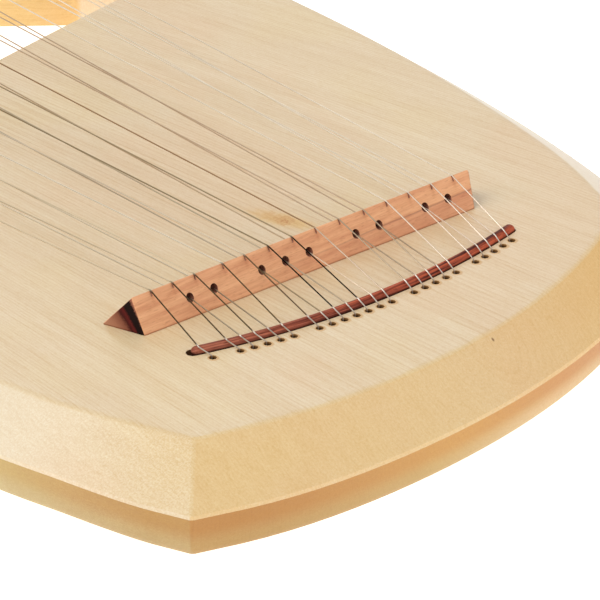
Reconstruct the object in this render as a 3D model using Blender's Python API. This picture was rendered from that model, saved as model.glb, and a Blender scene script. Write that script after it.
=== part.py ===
"""A chromatic lyre, lying on its back: soundbox, bass arm, yoke, bridge, strings and tuning pins.

Frame: metres, +Z up out of the soundboard, +Y towards the yoke, +X to the treble side.
The origin is the point of the back under the middle of the bridge's ridge.
"""
from math import acos, asin, atan2, cos, exp, hypot, pi, radians, sin, sqrt, tan

import bmesh
import bpy
from mathutils import Matrix, Vector

MM = 0.001
SEAT_GAP = 0.3 * MM            # between touching pieces

# Body: depth, bevels and edges
BODY_DEPTH = 28.0 * MM
UPPER_BEVEL_DEPTH = 12.8 * MM
UPPER_BEVEL_WIDTH = 16.9 * MM
BASS_CORNER_EXTRA = 5.3 * MM   # the upper bevel is wider at the bass tail corner
SIDE_FALLOFF = 29.0 * MM       # how far that extra width reaches up the side
TAIL_FALLOFF = 59.0 * MM       # and along the tail
UNDERCUT = 4.3 * MM            # how far the lower facet leans in at the back
TOP_EDGE_SOFTNESS = 1.4 * MM
WIDEST_EDGE_SOFTNESS = 0.7 * MM
BACK_EDGE_SOFTNESS = 3.0 * MM

# Outline of the flat top, in millimetres: up the bass side from the tail corner, round the yoke,
# whose knots are given along and across the nut from its two ends, and down the treble side
BASS_SIDE_KNOTS = [
    (-92.1, -61.8), (-104, -34), (-112, -8), (-119, 45), (-121.5, 110), (-121, 200), (-118.5, 290),
    (-115, 370),
]
YOKE_BASS_KNOTS = [(-26.6, 11), (-26.4, 29), (-12.5, 37), (11, 38.9)]
YOKE_TREBLE_KNOTS = [(-34, 38), (6.3, 34), (37, 20)]
TREBLE_SIDE_KNOTS = [(114, 205), (117.5, 150), (117.5, 95), (113.6, 45), (106.5, 2), (94.9, -33.9)]
KNOT_STEPS = 6
TAIL_RADIUS = 217.0 * MM
TAIL_STEPS = 28

# Strings: naturals at every second of 27 half-tone places, sharps between some of them
NATURALS = 14
SHARPS_AFTER = (2, 3, 5, 6, 7, 9, 10, 12, 13)
NATURAL_PITCH = 9.13 * MM      # along the bridge
NOTCH_SHIFTS = {               # how far hand-cut notches stand off their even places
    1: 1.1 * MM, 3: -0.75 * MM, 4: 0.75 * MM, 10: 0.5 * MM, 11: 0.35 * MM, 14: -0.6 * MM,
}
HOLE_PITCH = 4.5 * MM          # between places, along the arc of string holes
BASS_STRING_DIAMETER = 0.48 * MM
TREBLE_STRING_DIAMETER = 0.38 * MM

# Bridge
BRIDGE_HEIGHT = 10.5 * MM
BRIDGE_FRONT = 5.4 * MM        # ridge to the tail-side foot
BRIDGE_BACK = 8.9 * MM         # ridge to the head-side foot
BRIDGE_OVERHANG = 6.1 * MM     # ridge beyond the outer strings
BRIDGE_END_SKEW = radians(18)
BRIDGE_BASS_FLARE = 1.1 * MM   # how far the bass end leans out at its foot
RIDGE_FLAT = 0.7 * MM
NOTCH_DEPTH = 0.6 * MM
NOTCH_WIDTH = 1.1 * MM
SHARP_HOLE_RADIUS = 1.35 * MM
BRIDGE_SHARP_HEIGHT = 4.5 * MM   # a sharp string over the soundboard, at the bridge
SHARP_REST_TURN = radians(45)  # from the hole's bottom up its treble side, where a sharp string rests

# Arc of string holes, and the rail that the strings bend over in front of it
HOLE_ARC_RADIUS = 242.8 * MM
HOLE_ARC_DEPTH = 35.3 * MM     # bridge's ridge to the lowest hole
STRING_HOLE_RADIUS = 1.25 * MM
HOLE_TO_RAIL = 4.8 * MM        # at the middle string
RAIL_SLANT = 1.5 * MM          # how much nearer to the holes the rail comes, each radian to the treble
RAIL_RADIUS = 1.8 * MM
RAIL_BASS_OVERHANG = 4.6 * MM  # rail beyond the outer holes
RAIL_TREBLE_OVERHANG = 7.0 * MM
RAIL_BED_POCKET = 1.6 * MM     # the groove runs on past the rail's bass end
RAIL_STEPS = 36
ROD_END_TURNS = (15, 30, 60)   # degrees round the rod's rounded end
BASS_STRAY = 1.7 * MM          # how far the lowest string strays to the bass side over the rail
STRAYING = 7                   # strings up to this natural stray, each less than the one before
BALL_RADIUS = 1.7 * MM
BALL_LENGTH = 3.0 * MM
BALL_GROOVE_DEPTH = 5.0 * MM
BALL_GROOVE_WIDTH = 5.4 * MM

# Nut bar on the yoke, from the bass natural to the treble natural
NUT_BASS_X = -95.2 * MM
NUT_BASS_Y = 378.0 * MM
NUT_TREBLE_X = 64.5 * MM
NUT_TREBLE_Y = 254.0 * MM
NUT_SPREAD = 0.266             # how much wider the bass strings stand at the nut
NUT_HEIGHT = 9.3 * MM
NUT_HALF_WIDTH = 6.0 * MM
NUT_OVERHANG = 8.0 * MM
YOKE_EDGE_TO_NUT = 10.0 * MM   # window's edge to the nut's ridge

# Tuning pins, in two rows behind the nut
PIN_RADIUS = 2.5 * MM
PIN_LENGTH = 40.0 * MM
PIN_STANDING = 18.0 * MM       # how far a pin stands out of the yoke
PIN_HEAD_LENGTH = 9.0 * MM
PIN_HEAD_HALF_WIDTH = 1.9 * MM
PIN_HOLE_EXTRA_DEPTH = 2.0 * MM
NATURAL_ROW = 14.0 * MM        # nut's ridge to the naturals' pins
SHARP_ROW = 27.0 * MM
NATURAL_COIL_HEIGHT = 5.0 * MM
SHARP_COIL_HEIGHT = 3.4 * MM
COIL_TURNS = 2
COIL_PITCH = 1.0 * MM
COIL_POINTS = 8                # per turn

# Window between soundbox, arms and yoke: the soundbox's edge as corners in millimetres, each with
# its radius, then the two arms' inner sides; the yoke's edge follows the nut
WINDOW_FOOT = [(-96.5, 138.5, 15), (-40, 156.3, 160), (17, 170.6, 160), (47, 176.8, 160), (88, 184.6, 8)]
WINDOW_BASS_SIDE = -102.5 * MM
WINDOW_TREBLE_SIDE = 89.5 * MM
WINDOW_HEAD_RADIUS = 15.0
WINDOW_TREBLE_RADIUS = 8.0

# Joints of the frame: where the arm and the yoke meet their neighbours
ARM_FOOT_Y = 178.0 * MM
ARM_HEAD_Y = 326.0 * MM
TREBLE_JOINT_Y = 199.0 * MM
TENON_LENGTH = 40.0 * MM
TENON_WIDTH = 14.0 * MM
TENON_THICKNESS = 9.0 * MM
TENON_CORNER = 3.0             # radius, in millimetres
TENON_PLACES = [("arm_foot", -117.5), ("arm_head", -116.0), ("treble", 108.0)]

# Hollow of the soundbox
SOUNDBOARD_THICKNESS = 4.5 * MM
HOLLOW_INSET = 13.0 * MM       # inside the soundboard's outline
HOLLOW_TAIL_Y = -17.0 * MM
HOLLOW_TO_WINDOW = 14.0 * MM
HOLLOW_SIDE_STEPS = 8
BACK_PLATE_THICKNESS = 3.0 * MM
BACK_PLATE_LIP = 5.0 * MM      # how far the plate overlaps the rebate around the hollow
BRACE_YS = [48.0 * MM, 108.0 * MM]
BRACE_HEIGHT = 9.0 * MM
BRACE_WIDTH = 7.0 * MM
BRACE_LENGTH = 176.0 * MM
BRACE_TAPER = 24.0 * MM

TOP = BODY_DEPTH
NUT_BASS = (NUT_BASS_X, NUT_BASS_Y)
NUT_TREBLE = (NUT_TREBLE_X, NUT_TREBLE_Y)
HOLE_ARC_CENTRE_Y = HOLE_ARC_RADIUS - HOLE_ARC_DEPTH
MIDDLE_PLACE = NATURALS - 1
CUT_MARGIN = 10.0 * MM         # how far cutters run past the faces that they cut
FAR_OUT = 1000.0 * MM          # well past the whole lyre


def clear_scene():
    """Empty the scene."""
    for thing in list(bpy.data.objects):
        bpy.data.objects.remove(thing, do_unlink=True)


def finish(name, colour, roughness, metallic=0.0):
    """Make a plain material."""
    made = bpy.data.materials.new(name)
    made.use_nodes = True
    shader = made.node_tree.nodes["Principled BSDF"]
    shader.inputs["Base Color"].default_value = (*colour, 1.0)
    shader.inputs["Roughness"].default_value = roughness
    shader.inputs["Metallic"].default_value = metallic
    made.diffuse_color = (*colour, 1.0)
    return made


def add_object(name, data, material=None, location=(0, 0, 0)):
    """Put a mesh or a curve into the scene; without a material it is a cutter."""
    thing = bpy.data.objects.new(name, data)
    thing.location = location
    bpy.context.scene.collection.objects.link(thing)
    if material is None:
        thing.hide_render = True
        thing.display_type = "WIRE"
    else:
        data.materials.append(material)
    return thing


def solid(name, vertices, faces):
    """Make a mesh from points and faces, with its faces turned outwards."""
    mesh = bpy.data.meshes.new(name)
    mesh.from_pydata([tuple(point) for point in vertices], [], faces)
    work = bmesh.new()
    work.from_mesh(mesh)
    bmesh.ops.recalc_face_normals(work, faces=work.faces)
    work.to_mesh(mesh)
    work.free()
    return mesh


def stack(name, rings):
    """Close a stack of rings of the same number of points into a solid."""
    count = len(rings[0])
    vertices = [point for ring in rings for point in ring]
    faces = [list(range(count)), [(len(rings) - 1) * count + i for i in range(count)]]
    for level in range(len(rings) - 1):
        for i in range(count):
            after = (i + 1) % count
            low, high = level * count, (level + 1) * count
            faces.append([low + i, low + after, high + after, high + i])
    return solid(name, vertices, faces)


def prism(name, outline, low, high):
    """Make an upright prism over a plan outline."""
    return stack(name, [[(x, y, z) for x, y in outline] for z in (low, high)])


def joined(name, meshes):
    """Join meshes that don't touch into one mesh."""
    work = bmesh.new()
    for mesh in meshes:
        work.from_mesh(mesh)
    result = bpy.data.meshes.new(name)
    work.to_mesh(result)
    work.free()
    return result


def boolean(thing, other, operation="DIFFERENCE"):
    """Cut a piece with a cutter, or keep only what they share."""
    cut = thing.modifiers.new(other.name, "BOOLEAN")
    cut.operation = operation
    cut.object = other
    cut.solver = "EXACT"


def shade_round(mesh, angle=40):
    """Shade a mesh smooth, apart from its sharp edges."""
    mesh.shade_smooth()
    mesh.set_sharp_from_angle(angle=radians(angle))


def tube_curve(name, points, radii, resolution=1):
    """Make a tube along points, with its own radius at each of them and closed ends."""
    curve = bpy.data.curves.new(name, "CURVE")
    curve.dimensions = "3D"
    curve.bevel_depth = 1.0
    curve.bevel_resolution = resolution
    curve.use_fill_caps = True
    run = curve.splines.new("POLY")
    run.points.add(len(points) - 1)
    for knot, point, radius in zip(run.points, points, radii):
        knot.co = (*point, 1.0)
        knot.radius = radius
    run.use_smooth = True
    return curve


def tube_mesh(name, points, radii, resolution=1):
    """Make the same tube as a mesh, for cutting."""
    guide = bpy.data.objects.new(name, tube_curve(name, points, radii, resolution))
    bpy.context.scene.collection.objects.link(guide)
    mesh = bpy.data.meshes.new_from_object(guide)
    bpy.data.objects.remove(guide, do_unlink=True)
    return mesh


def smooth_through(knots, steps):
    """Give points of a smooth curve through the knots (centripetal, so that it doesn't overshoot)."""
    first, last = Vector(knots[0]), Vector(knots[-1])
    around = [2 * first - Vector(knots[1]), *map(Vector, knots), 2 * last - Vector(knots[-2])]
    points = []
    for a, b, c, d in zip(around, around[1:], around[2:], around[3:]):
        t1 = sqrt((b - a).length)
        t2 = t1 + sqrt((c - b).length)
        t3 = t2 + sqrt((d - c).length)
        for step in range(steps):
            t = t1 + (t2 - t1) * step / steps
            ab = a.lerp(b, t / t1)
            bc = b.lerp(c, (t - t1) / (t2 - t1))
            cd = c.lerp(d, (t - t2) / (t3 - t2))
            points.append(ab.lerp(bc, t / t2).lerp(bc.lerp(cd, (t - t1) / (t3 - t1)), (t - t1) / (t2 - t1)))
    points.append(last)
    return points


def rounded(corners, steps=6):
    """Round the corners of a closed outline; each corner is x, y and radius in millimetres."""
    points = []
    for i, (x, y, radius) in enumerate(corners):
        here = Vector((x, y))
        back = (Vector(corners[i - 1][:2]) - here).normalized()
        ahead = (Vector(corners[(i + 1) % len(corners)][:2]) - here).normalized()
        half = back.angle(ahead) / 2
        centre = here + (back + ahead).normalized() * radius / sin(half)
        start = here + back * radius / tan(half) - centre
        stop = here + ahead * radius / tan(half) - centre
        turn = start.angle_signed(stop)
        for step in range(steps + 1):
            spoke = start.copy()
            spoke.rotate(Matrix.Rotation(-turn * step / steps, 2))
            points.append(((centre + spoke) * MM)[:])
    return points


def tail_arc(start, stop):
    """Give the inner points of the tail's arc between its two corners."""
    chord = stop - start
    middle = (start + stop) / 2
    towards_head = Vector((chord.y, -chord.x)).normalized()
    centre = middle + towards_head * sqrt(TAIL_RADIUS ** 2 - (chord.length / 2) ** 2)
    sweep = 2 * asin(chord.length / 2 / TAIL_RADIUS)
    first = start - centre
    first_angle = atan2(first.y, first.x)
    angles = [first_angle - sweep * step / TAIL_STEPS for step in range(1, TAIL_STEPS)]
    return [centre + TAIL_RADIUS * Vector((cos(angle), sin(angle))) for angle in angles]


def beside_nut(nut_end, along, across):
    """Give a plan point in millimetres from steps along and across the nut."""
    square = nut_across()
    return Vector(nut_end) / MM + Vector((square.y, -square.x)) * along + square * across


def side_knots():
    """Give the knots of the flat top's outline, without its tail."""
    bass_end = [beside_nut(NUT_BASS, *knot) for knot in YOKE_BASS_KNOTS]
    treble_end = [beside_nut(NUT_TREBLE, *knot) for knot in YOKE_TREBLE_KNOTS]
    return [*BASS_SIDE_KNOTS, *bass_end, *treble_end, *TREBLE_SIDE_KNOTS]


def soundboard_outline():
    """Give the outline's points, clockwise from the bass tail corner, and the bevel's width at each."""
    sides = [point * MM for point in smooth_through(side_knots(), KNOT_STEPS)]
    tail = tail_arc(sides[-1], sides[0])
    points = sides + tail
    widths = []
    for number, point in enumerate(points):
        falloff = SIDE_FALLOFF if number < len(sides) else TAIL_FALLOFF
        extra = BASS_CORNER_EXTRA * exp(-((point - points[0]).length / falloff) ** 2)
        widths.append(UPPER_BEVEL_WIDTH + extra)
    return points, widths


def outward(points):
    """Give at each point of a clockwise outline the step that moves its edges out by one unit."""
    steps = []
    for i, here in enumerate(points):
        before = (here - points[i - 1]).normalized()
        after = (points[(i + 1) % len(points)] - here).normalized()
        n1, n2 = Vector((-before.y, before.x)), Vector((-after.y, after.x))
        steps.append((n1 + n2) / (1 + n1.dot(n2)))
    return steps


def softened(before, corner, after, softness, steps):
    """Round one corner of a profile with a short curve."""
    corner = Vector(corner)
    start = corner + (Vector(before) - corner).normalized() * softness
    stop = corner + (Vector(after) - corner).normalized() * softness
    shares = [step / steps for step in range(steps + 1)]
    return [start * (1 - u) ** 2 + corner * (2 * u * (1 - u)) + stop * u ** 2 for u in shares]


def edge_profile(bevel_width):
    """Give the body's edge from top to back: how far out, and how high."""
    inside, top = (-CUT_MARGIN, TOP), (0, TOP)
    widest = (bevel_width, TOP - UPPER_BEVEL_DEPTH)
    back, back_inside = (bevel_width - UNDERCUT, 0), (-CUT_MARGIN, 0)
    return (softened(inside, top, widest, TOP_EDGE_SOFTNESS, 2)
            + softened(top, widest, back, WIDEST_EDGE_SOFTNESS, 1)
            + softened(widest, back, back_inside, BACK_EDGE_SOFTNESS, 2))


def blank_mesh(name):
    """Make the whole shield of wood that soundbox, arm and yoke are parts of."""
    points, widths = soundboard_outline()
    steps = outward(points)
    profiles = [edge_profile(width) for width in widths]
    rings = []
    for level in range(len(profiles[0])):
        ring = []
        for point, step, profile in zip(points, steps, profiles):
            out, height = profile[level]
            x, y = point + step * out
            ring.append((x, y, height))
        rings.append(ring)
    return stack(name, rings)


def inset_outline(distance):
    """Give the soundboard's outline moved in by a distance."""
    points, _ = soundboard_outline()
    return [(point - step * distance)[:] for point, step in zip(points, outward(points))]


def yoke_edge_y(x):
    """Give where the yoke's edge of the window lies at a place across the lyre."""
    square = nut_across()
    on_edge = Vector(NUT_TREBLE) - square * YOKE_EDGE_TO_NUT
    return on_edge.y - (x - on_edge.x) * square.x / square.y


def window_outline():
    """Give the window's outline."""
    corners = list(WINDOW_FOOT)
    for x, radius in ((WINDOW_TREBLE_SIDE, WINDOW_TREBLE_RADIUS), (WINDOW_BASS_SIDE, WINDOW_HEAD_RADIUS)):
        corners.append((x / MM, yoke_edge_y(x) / MM, radius))
    return rounded(corners)


def hole_angle(place):
    """Give the angle of a half-tone place on the arc of string holes."""
    return (place - MIDDLE_PLACE) * HOLE_PITCH / HOLE_ARC_RADIUS


def rail_arc_radius(angle):
    """Give how far the rail's middle line lies from the centre of the string holes' arc."""
    return HOLE_ARC_RADIUS - HOLE_TO_RAIL + RAIL_SLANT * angle


def on_arc(radius, angle, height=0.0):
    """Give a point on an arc about the centre of the string holes' arc."""
    return Vector((radius * sin(angle), HOLE_ARC_CENTRE_Y - radius * cos(angle), height))


def nut_point(natural):
    """Give the plan point where a string crosses the nut; halves are sharps."""
    share = (natural - 1) / (NATURALS - 1)
    share += NUT_SPREAD * share * (1 - share)
    return Vector(NUT_BASS).lerp(Vector(NUT_TREBLE), share)


def bridge_point(natural):
    """Give the plan point where a string crosses the bridge's ridge."""
    return Vector(((natural - (NATURALS + 1) / 2) * NATURAL_PITCH, 0.0))


def bridge_crossing(natural):
    """Give the plan point where a string really crosses: its notch may stand off its even place."""
    return bridge_point(natural) + Vector((NOTCH_SHIFTS.get(natural, 0.0), 0.0))


def string_radius(natural):
    """Give a string's radius, from the thick bass to the thin treble."""
    share = (natural - 1) / (NATURALS - 1)
    return (BASS_STRING_DIAMETER + (TREBLE_STRING_DIAMETER - BASS_STRING_DIAMETER) * share) / 2


def string_list():
    """Give each string as its name, its number among the naturals, its place and whether it is a sharp."""
    naturals = [(f"natural_string_{n:02d}", n, 2 * (n - 1), False) for n in range(1, NATURALS + 1)]
    sharps = [(f"sharp_string_{k:02d}", n + 0.5, 2 * n - 1, True) for k, n in enumerate(SHARPS_AFTER, 1)]
    return naturals + sharps


def rest_in_hole(natural):
    """Give how far to the treble side of its hole's middle a sharp rests, and how far under it."""
    reach = SHARP_HOLE_RADIUS - SEAT_GAP - string_radius(natural)
    return reach * sin(SHARP_REST_TURN), reach * cos(SHARP_REST_TURN)


def string_way(natural):
    """Give a string's plan direction from the bridge to the nut."""
    return (nut_point(natural) - bridge_crossing(natural)).normalized()


def nut_across():
    """Give the plan direction square to the nut bar, towards the pins."""
    along = (Vector(NUT_TREBLE) - Vector(NUT_BASS)).normalized()
    return Vector((-along.y, along.x))


def pin_place(natural, is_sharp):
    """Give the plan point of a string's pin: a sharp's stands aside, so that its string runs on straight."""
    way = string_way(natural)
    if is_sharp:
        treble_side = Vector((way.y, -way.x))
        aside = treble_side * (PIN_RADIUS + SEAT_GAP + string_radius(natural))
        return nut_point(natural) + way * SHARP_ROW / way.dot(nut_across()) + aside
    return nut_point(natural) + way * NATURAL_ROW / way.dot(nut_across())


def tail_route(natural, place, is_sharp):
    """Give a string's points from its ball end up the string hole, over the rail and to the bridge."""
    radius = string_radius(natural)
    angle = hole_angle(place)
    axis_radius = HOLE_ARC_RADIUS - (STRING_HOLE_RADIUS - SEAT_GAP - radius)
    foot = on_arc(axis_radius, angle)
    leave_x = bridge_crossing(natural).x
    if is_sharp:
        leave_x += rest_in_hole(natural)[0]
        leave_y = -BRIDGE_FRONT * (1 - BRIDGE_SHARP_HEIGHT / BRIDGE_HEIGHT)
        leave_height = BRIDGE_SHARP_HEIGHT
    else:
        leave_y = 0.0
        leave_height = SEAT_GAP + BRIDGE_HEIGHT - NOTCH_DEPTH + SEAT_GAP + radius
    leave = Vector((leave_x, leave_y, TOP + leave_height))
    tailward = (foot.xy - leave.xy).normalized()
    beyond_rail = axis_radius - rail_arc_radius(angle)
    to_rail = (foot.xy - leave.xy).length - beyond_rail
    wrap = RAIL_RADIUS + SEAT_GAP + radius
    rise = leave.z - TOP
    start = acos(wrap / hypot(to_rail, rise)) - atan2(to_rail, rise)
    rim_rise = SEAT_GAP
    stop = atan2(beyond_rail, rim_rise) - acos(wrap / hypot(beyond_rail, rim_rise))
    stray = BASS_STRAY * max(0.0, STRAYING + 1 - natural) / STRAYING
    to_bass = Vector((-cos(angle), -sin(angle)))
    rail_middle = foot.xy - tailward * beyond_rail + to_bass * stray
    over_rail = []
    for turn in (stop, (start + stop) / 2, start):
        plan = rail_middle + tailward * wrap * sin(turn)
        over_rail.append(Vector((*plan, TOP + wrap * cos(turn))))
    ball_top = BALL_GROOVE_DEPTH - SEAT_GAP
    heights = [ball_top - BALL_LENGTH, ball_top, ball_top, TOP + rim_rise]
    up_the_hole = [foot + Vector((0, 0, height)) for height in heights]
    radii = [BALL_RADIUS, BALL_RADIUS, radius, radius] + [radius] * 3
    up_the_hole[2].z += radius / 4
    return up_the_hole + over_rail, radii, leave


def coil_route(natural, is_sharp):
    """Give the points of a string's turns around its pin, from where it touches the pin."""
    radius = string_radius(natural)
    reach = PIN_RADIUS + SEAT_GAP + radius
    pin = pin_place(natural, is_sharp)
    to_pin = pin - nut_point(natural)
    bearing = atan2(to_pin.y, to_pin.x) + asin(reach / to_pin.length)
    start = bearing + pi / 2
    height = TOP + (SHARP_COIL_HEIGHT if is_sharp else NATURAL_COIL_HEIGHT)
    points = []
    for step in range(COIL_TURNS * COIL_POINTS + 1):
        turned = step / COIL_POINTS
        angle = start - 2 * pi * turned
        on_coil = pin + Vector((cos(angle), sin(angle))) * reach
        points.append(Vector((*on_coil, height + COIL_PITCH * turned)))
    return points


def string_route(natural, place, is_sharp):
    """Give all points and radii of a string, from its ball end to the last turn on its pin."""
    radius = string_radius(natural)
    points, radii, leave = tail_route(natural, place, is_sharp)
    nut_height = TOP + SEAT_GAP + NUT_HEIGHT - NOTCH_DEPTH + SEAT_GAP + radius
    middle = [leave, Vector((*nut_point(natural), nut_height))]
    points = points + middle + coil_route(natural, is_sharp)
    radii = radii + [radius] * (len(points) - len(radii))
    return points, radii


def least_coil_gap(points, radius):
    """Measure the least gap between neighbouring turns of a coil, on its points."""
    gaps = [(points[i + COIL_POINTS] - points[i]).length for i in range(len(points) - COIL_POINTS)]
    return min(gaps) - 2 * radius


def box_between(start, stop, width, low, high):
    """Make an upright plate along a plan line, for cutting notches."""
    along = (stop - start).normalized()
    side = Vector((-along.y, along.x)) * width / 2
    outline = [(start - side)[:], (stop - side)[:], (stop + side)[:], (start + side)[:]]
    return prism("plate", outline, low, high)


def ridge_bar(name, half_length, front, back, height, end_skew=0.0, bass_flare=0.0):
    """Make a bar of triangular section along X, its ridge over the origin and its foot at zero."""
    section = [(-front, 0), (-RIDGE_FLAT / 2, height - RIDGE_FLAT / 4), (0, height),
               (RIDGE_FLAT / 2, height - RIDGE_FLAT / 4), (back, 0)]
    rings = []
    for side, flare in ((-1, bass_flare), (1, 0.0)):
        ring = []
        for y, z in section:
            reach = half_length + y * tan(end_skew) + flare * (1 - z / height)
            ring.append((side * reach, y, z))
        rings.append(ring)
    return stack(name, rings)


def make_bridge(material):
    """Make the bridge, with its notches and holes."""
    half_length = bridge_point(NATURALS).x + BRIDGE_OVERHANG
    mesh = ridge_bar("bridge", half_length, BRIDGE_FRONT, BRIDGE_BACK, BRIDGE_HEIGHT,
                     BRIDGE_END_SKEW, BRIDGE_BASS_FLARE)
    bridge = add_object("bridge", mesh, material, (0, 0, TOP + SEAT_GAP))
    floor = TOP + SEAT_GAP + BRIDGE_HEIGHT - NOTCH_DEPTH
    notches, holes = [], []
    for _, natural, _, is_sharp in string_list():
        here = bridge_crossing(natural)
        if is_sharp:
            axis_height = TOP + BRIDGE_SHARP_HEIGHT + rest_in_hole(natural)[1]
            ends = [Vector((here.x, y, axis_height)) for y in (-CUT_MARGIN, CUT_MARGIN)]
            holes.append(tube_mesh("hole", ends, [SHARP_HOLE_RADIUS] * 2, 2))
        else:
            reach = Vector((0, BRIDGE_BACK))
            notches.append(box_between(here - reach, here + reach, NOTCH_WIDTH, floor, floor + CUT_MARGIN))
    boolean(bridge, add_object("bridge_notch_cutter", joined("bridge_notches", notches)))
    boolean(bridge, add_object("bridge_hole_cutter", joined("bridge_holes", holes)))
    return bridge


def make_nut(material):
    """Make the nut bar on the yoke, with a notch for each string: at the head all strings run level."""
    bass, treble = Vector(NUT_BASS), Vector(NUT_TREBLE)
    along = treble - bass
    half_length = along.length / 2 + NUT_OVERHANG
    mesh = ridge_bar("nut_bar", half_length, NUT_HALF_WIDTH, NUT_HALF_WIDTH, NUT_HEIGHT)
    nut = add_object("nut_bar", mesh, material, (*((bass + treble) / 2), TOP + SEAT_GAP))
    nut.rotation_euler.z = atan2(along.y, along.x)
    floor = TOP + SEAT_GAP + NUT_HEIGHT - NOTCH_DEPTH
    notches = []
    for _, natural, _, _ in string_list():
        here, reach = nut_point(natural), string_way(natural) * NUT_HALF_WIDTH
        notches.append(box_between(here - reach, here + reach, NOTCH_WIDTH, floor, floor + CUT_MARGIN))
    boolean(nut, add_object("nut_notch_cutter", joined("nut_notches", notches)))
    return nut


def rounded_rod(radius, bass_extra=0.0, treble_extra=0.0):
    """Give the middle line of the rail or of its groove, and its radii with rounded ends."""
    bass = hole_angle(0) - (RAIL_BASS_OVERHANG + bass_extra) / HOLE_ARC_RADIUS
    treble = hole_angle(2 * MIDDLE_PLACE) + (RAIL_TREBLE_OVERHANG + treble_extra) / HOLE_ARC_RADIUS
    dome = radius / HOLE_ARC_RADIUS
    in_from_end = [dome * (1 - cos(radians(turn))) for turn in ROD_END_TURNS]
    end_radii = [radius * sin(radians(turn)) for turn in ROD_END_TURNS]
    straight = treble - bass - 2 * dome
    angles = [bass + back for back in in_from_end]
    angles += [bass + dome + straight * step / RAIL_STEPS for step in range(RAIL_STEPS + 1)]
    angles += [treble - back for back in reversed(in_from_end)]
    radii = end_radii + [radius] * (RAIL_STEPS + 1) + end_radii[::-1]
    return [on_arc(rail_arc_radius(angle), angle, TOP) for angle in angles], radii


def make_rail(material):
    """Make the round rail."""
    points, radii = rounded_rod(RAIL_RADIUS)
    return add_object("string_rail", tube_curve("string_rail", points, radii, 2), material)


def side_points(inset, side, low, high):
    """Give points of the soundboard's side, moved in by a distance, between two heights in the plan."""
    points, _ = soundboard_outline()
    sides = [point - step * inset for point, step in zip(points, outward(points)) if point.x * side > 0]
    near = [point for point in sides if low - TAIL_FALLOFF < point.y < high + TAIL_FALLOFF]
    line = sorted(near, key=lambda point: point.y)
    cut = []
    for step in range(HOLLOW_SIDE_STEPS + 1):
        y = low + (high - low) * step / HOLLOW_SIDE_STEPS
        below = [point for point in line if point.y <= y][-1]
        above = [point for point in line if point.y > y][0]
        cut.append(below.lerp(above, (y - below.y) / (above.y - below.y)))
    return cut


def hollow_outline(grown):
    """Give the outline of the soundbox's hollow, grown by a distance."""
    tail_y = HOLLOW_TAIL_Y - grown
    window_foot = [Vector((x, y)) * MM for x, y, _ in WINDOW_FOOT]
    head = [point - Vector((0, HOLLOW_TO_WINDOW - grown)) for point in window_foot]
    inset = HOLLOW_INSET - grown
    bass = side_points(inset, -1, tail_y, head[0].y)
    treble = side_points(inset, 1, tail_y, head[-1].y)
    return [point[:] for point in bass + head + treble[::-1]]


def ball_groove_outline():
    """Give the outline of the groove in the back that holds the strings' ball ends."""
    reach = hole_angle(2 * MIDDLE_PLACE) + BALL_GROOVE_WIDTH / HOLE_ARC_RADIUS
    steps = 28
    middle = HOLE_ARC_RADIUS - STRING_HOLE_RADIUS / 2
    angles = [reach * (2 * step / steps - 1) for step in range(steps + 1)]
    near = [on_arc(middle - BALL_GROOVE_WIDTH / 2, angle).xy[:] for angle in angles]
    far = [on_arc(middle + BALL_GROOVE_WIDTH / 2, angle).xy[:] for angle in reversed(angles)]
    return near + far


def string_hole_cutter():
    """Make the cutter of all string holes."""
    holes = []
    for _, _, place, _ in string_list():
        middle = on_arc(HOLE_ARC_RADIUS, hole_angle(place))
        ends = [middle + Vector((0, 0, z)) for z in (BALL_GROOVE_DEPTH / 2, TOP + CUT_MARGIN)]
        holes.append(tube_mesh("hole", ends, [STRING_HOLE_RADIUS] * 2, 2))
    return add_object("string_hole_cutter", joined("string_holes", holes))


def tenon_centres():
    """Give each loose tenon's name and centre."""
    joints = {"arm_foot": ARM_FOOT_Y, "arm_head": ARM_HEAD_Y, "treble": TREBLE_JOINT_Y}
    return [(name, Vector((x * MM, joints[name], BODY_DEPTH / 2))) for name, x in TENON_PLACES]


def tenon_mesh(name, centre, grown):
    """Make one loose tenon, or its mortises when grown."""
    half_width, half_length = TENON_WIDTH / 2 + grown, TENON_LENGTH / 2 + grown
    corners = [(side * half_width / MM, end * half_length / MM, TENON_CORNER)
               for side, end in ((-1, -1), (-1, 1), (1, 1), (1, -1))]
    outline = [(centre.x + x, centre.y + y) for x, y in rounded(corners, 3)]
    half = TENON_THICKNESS / 2 + grown
    return prism(name, outline, centre.z - half, centre.z + half)


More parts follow.
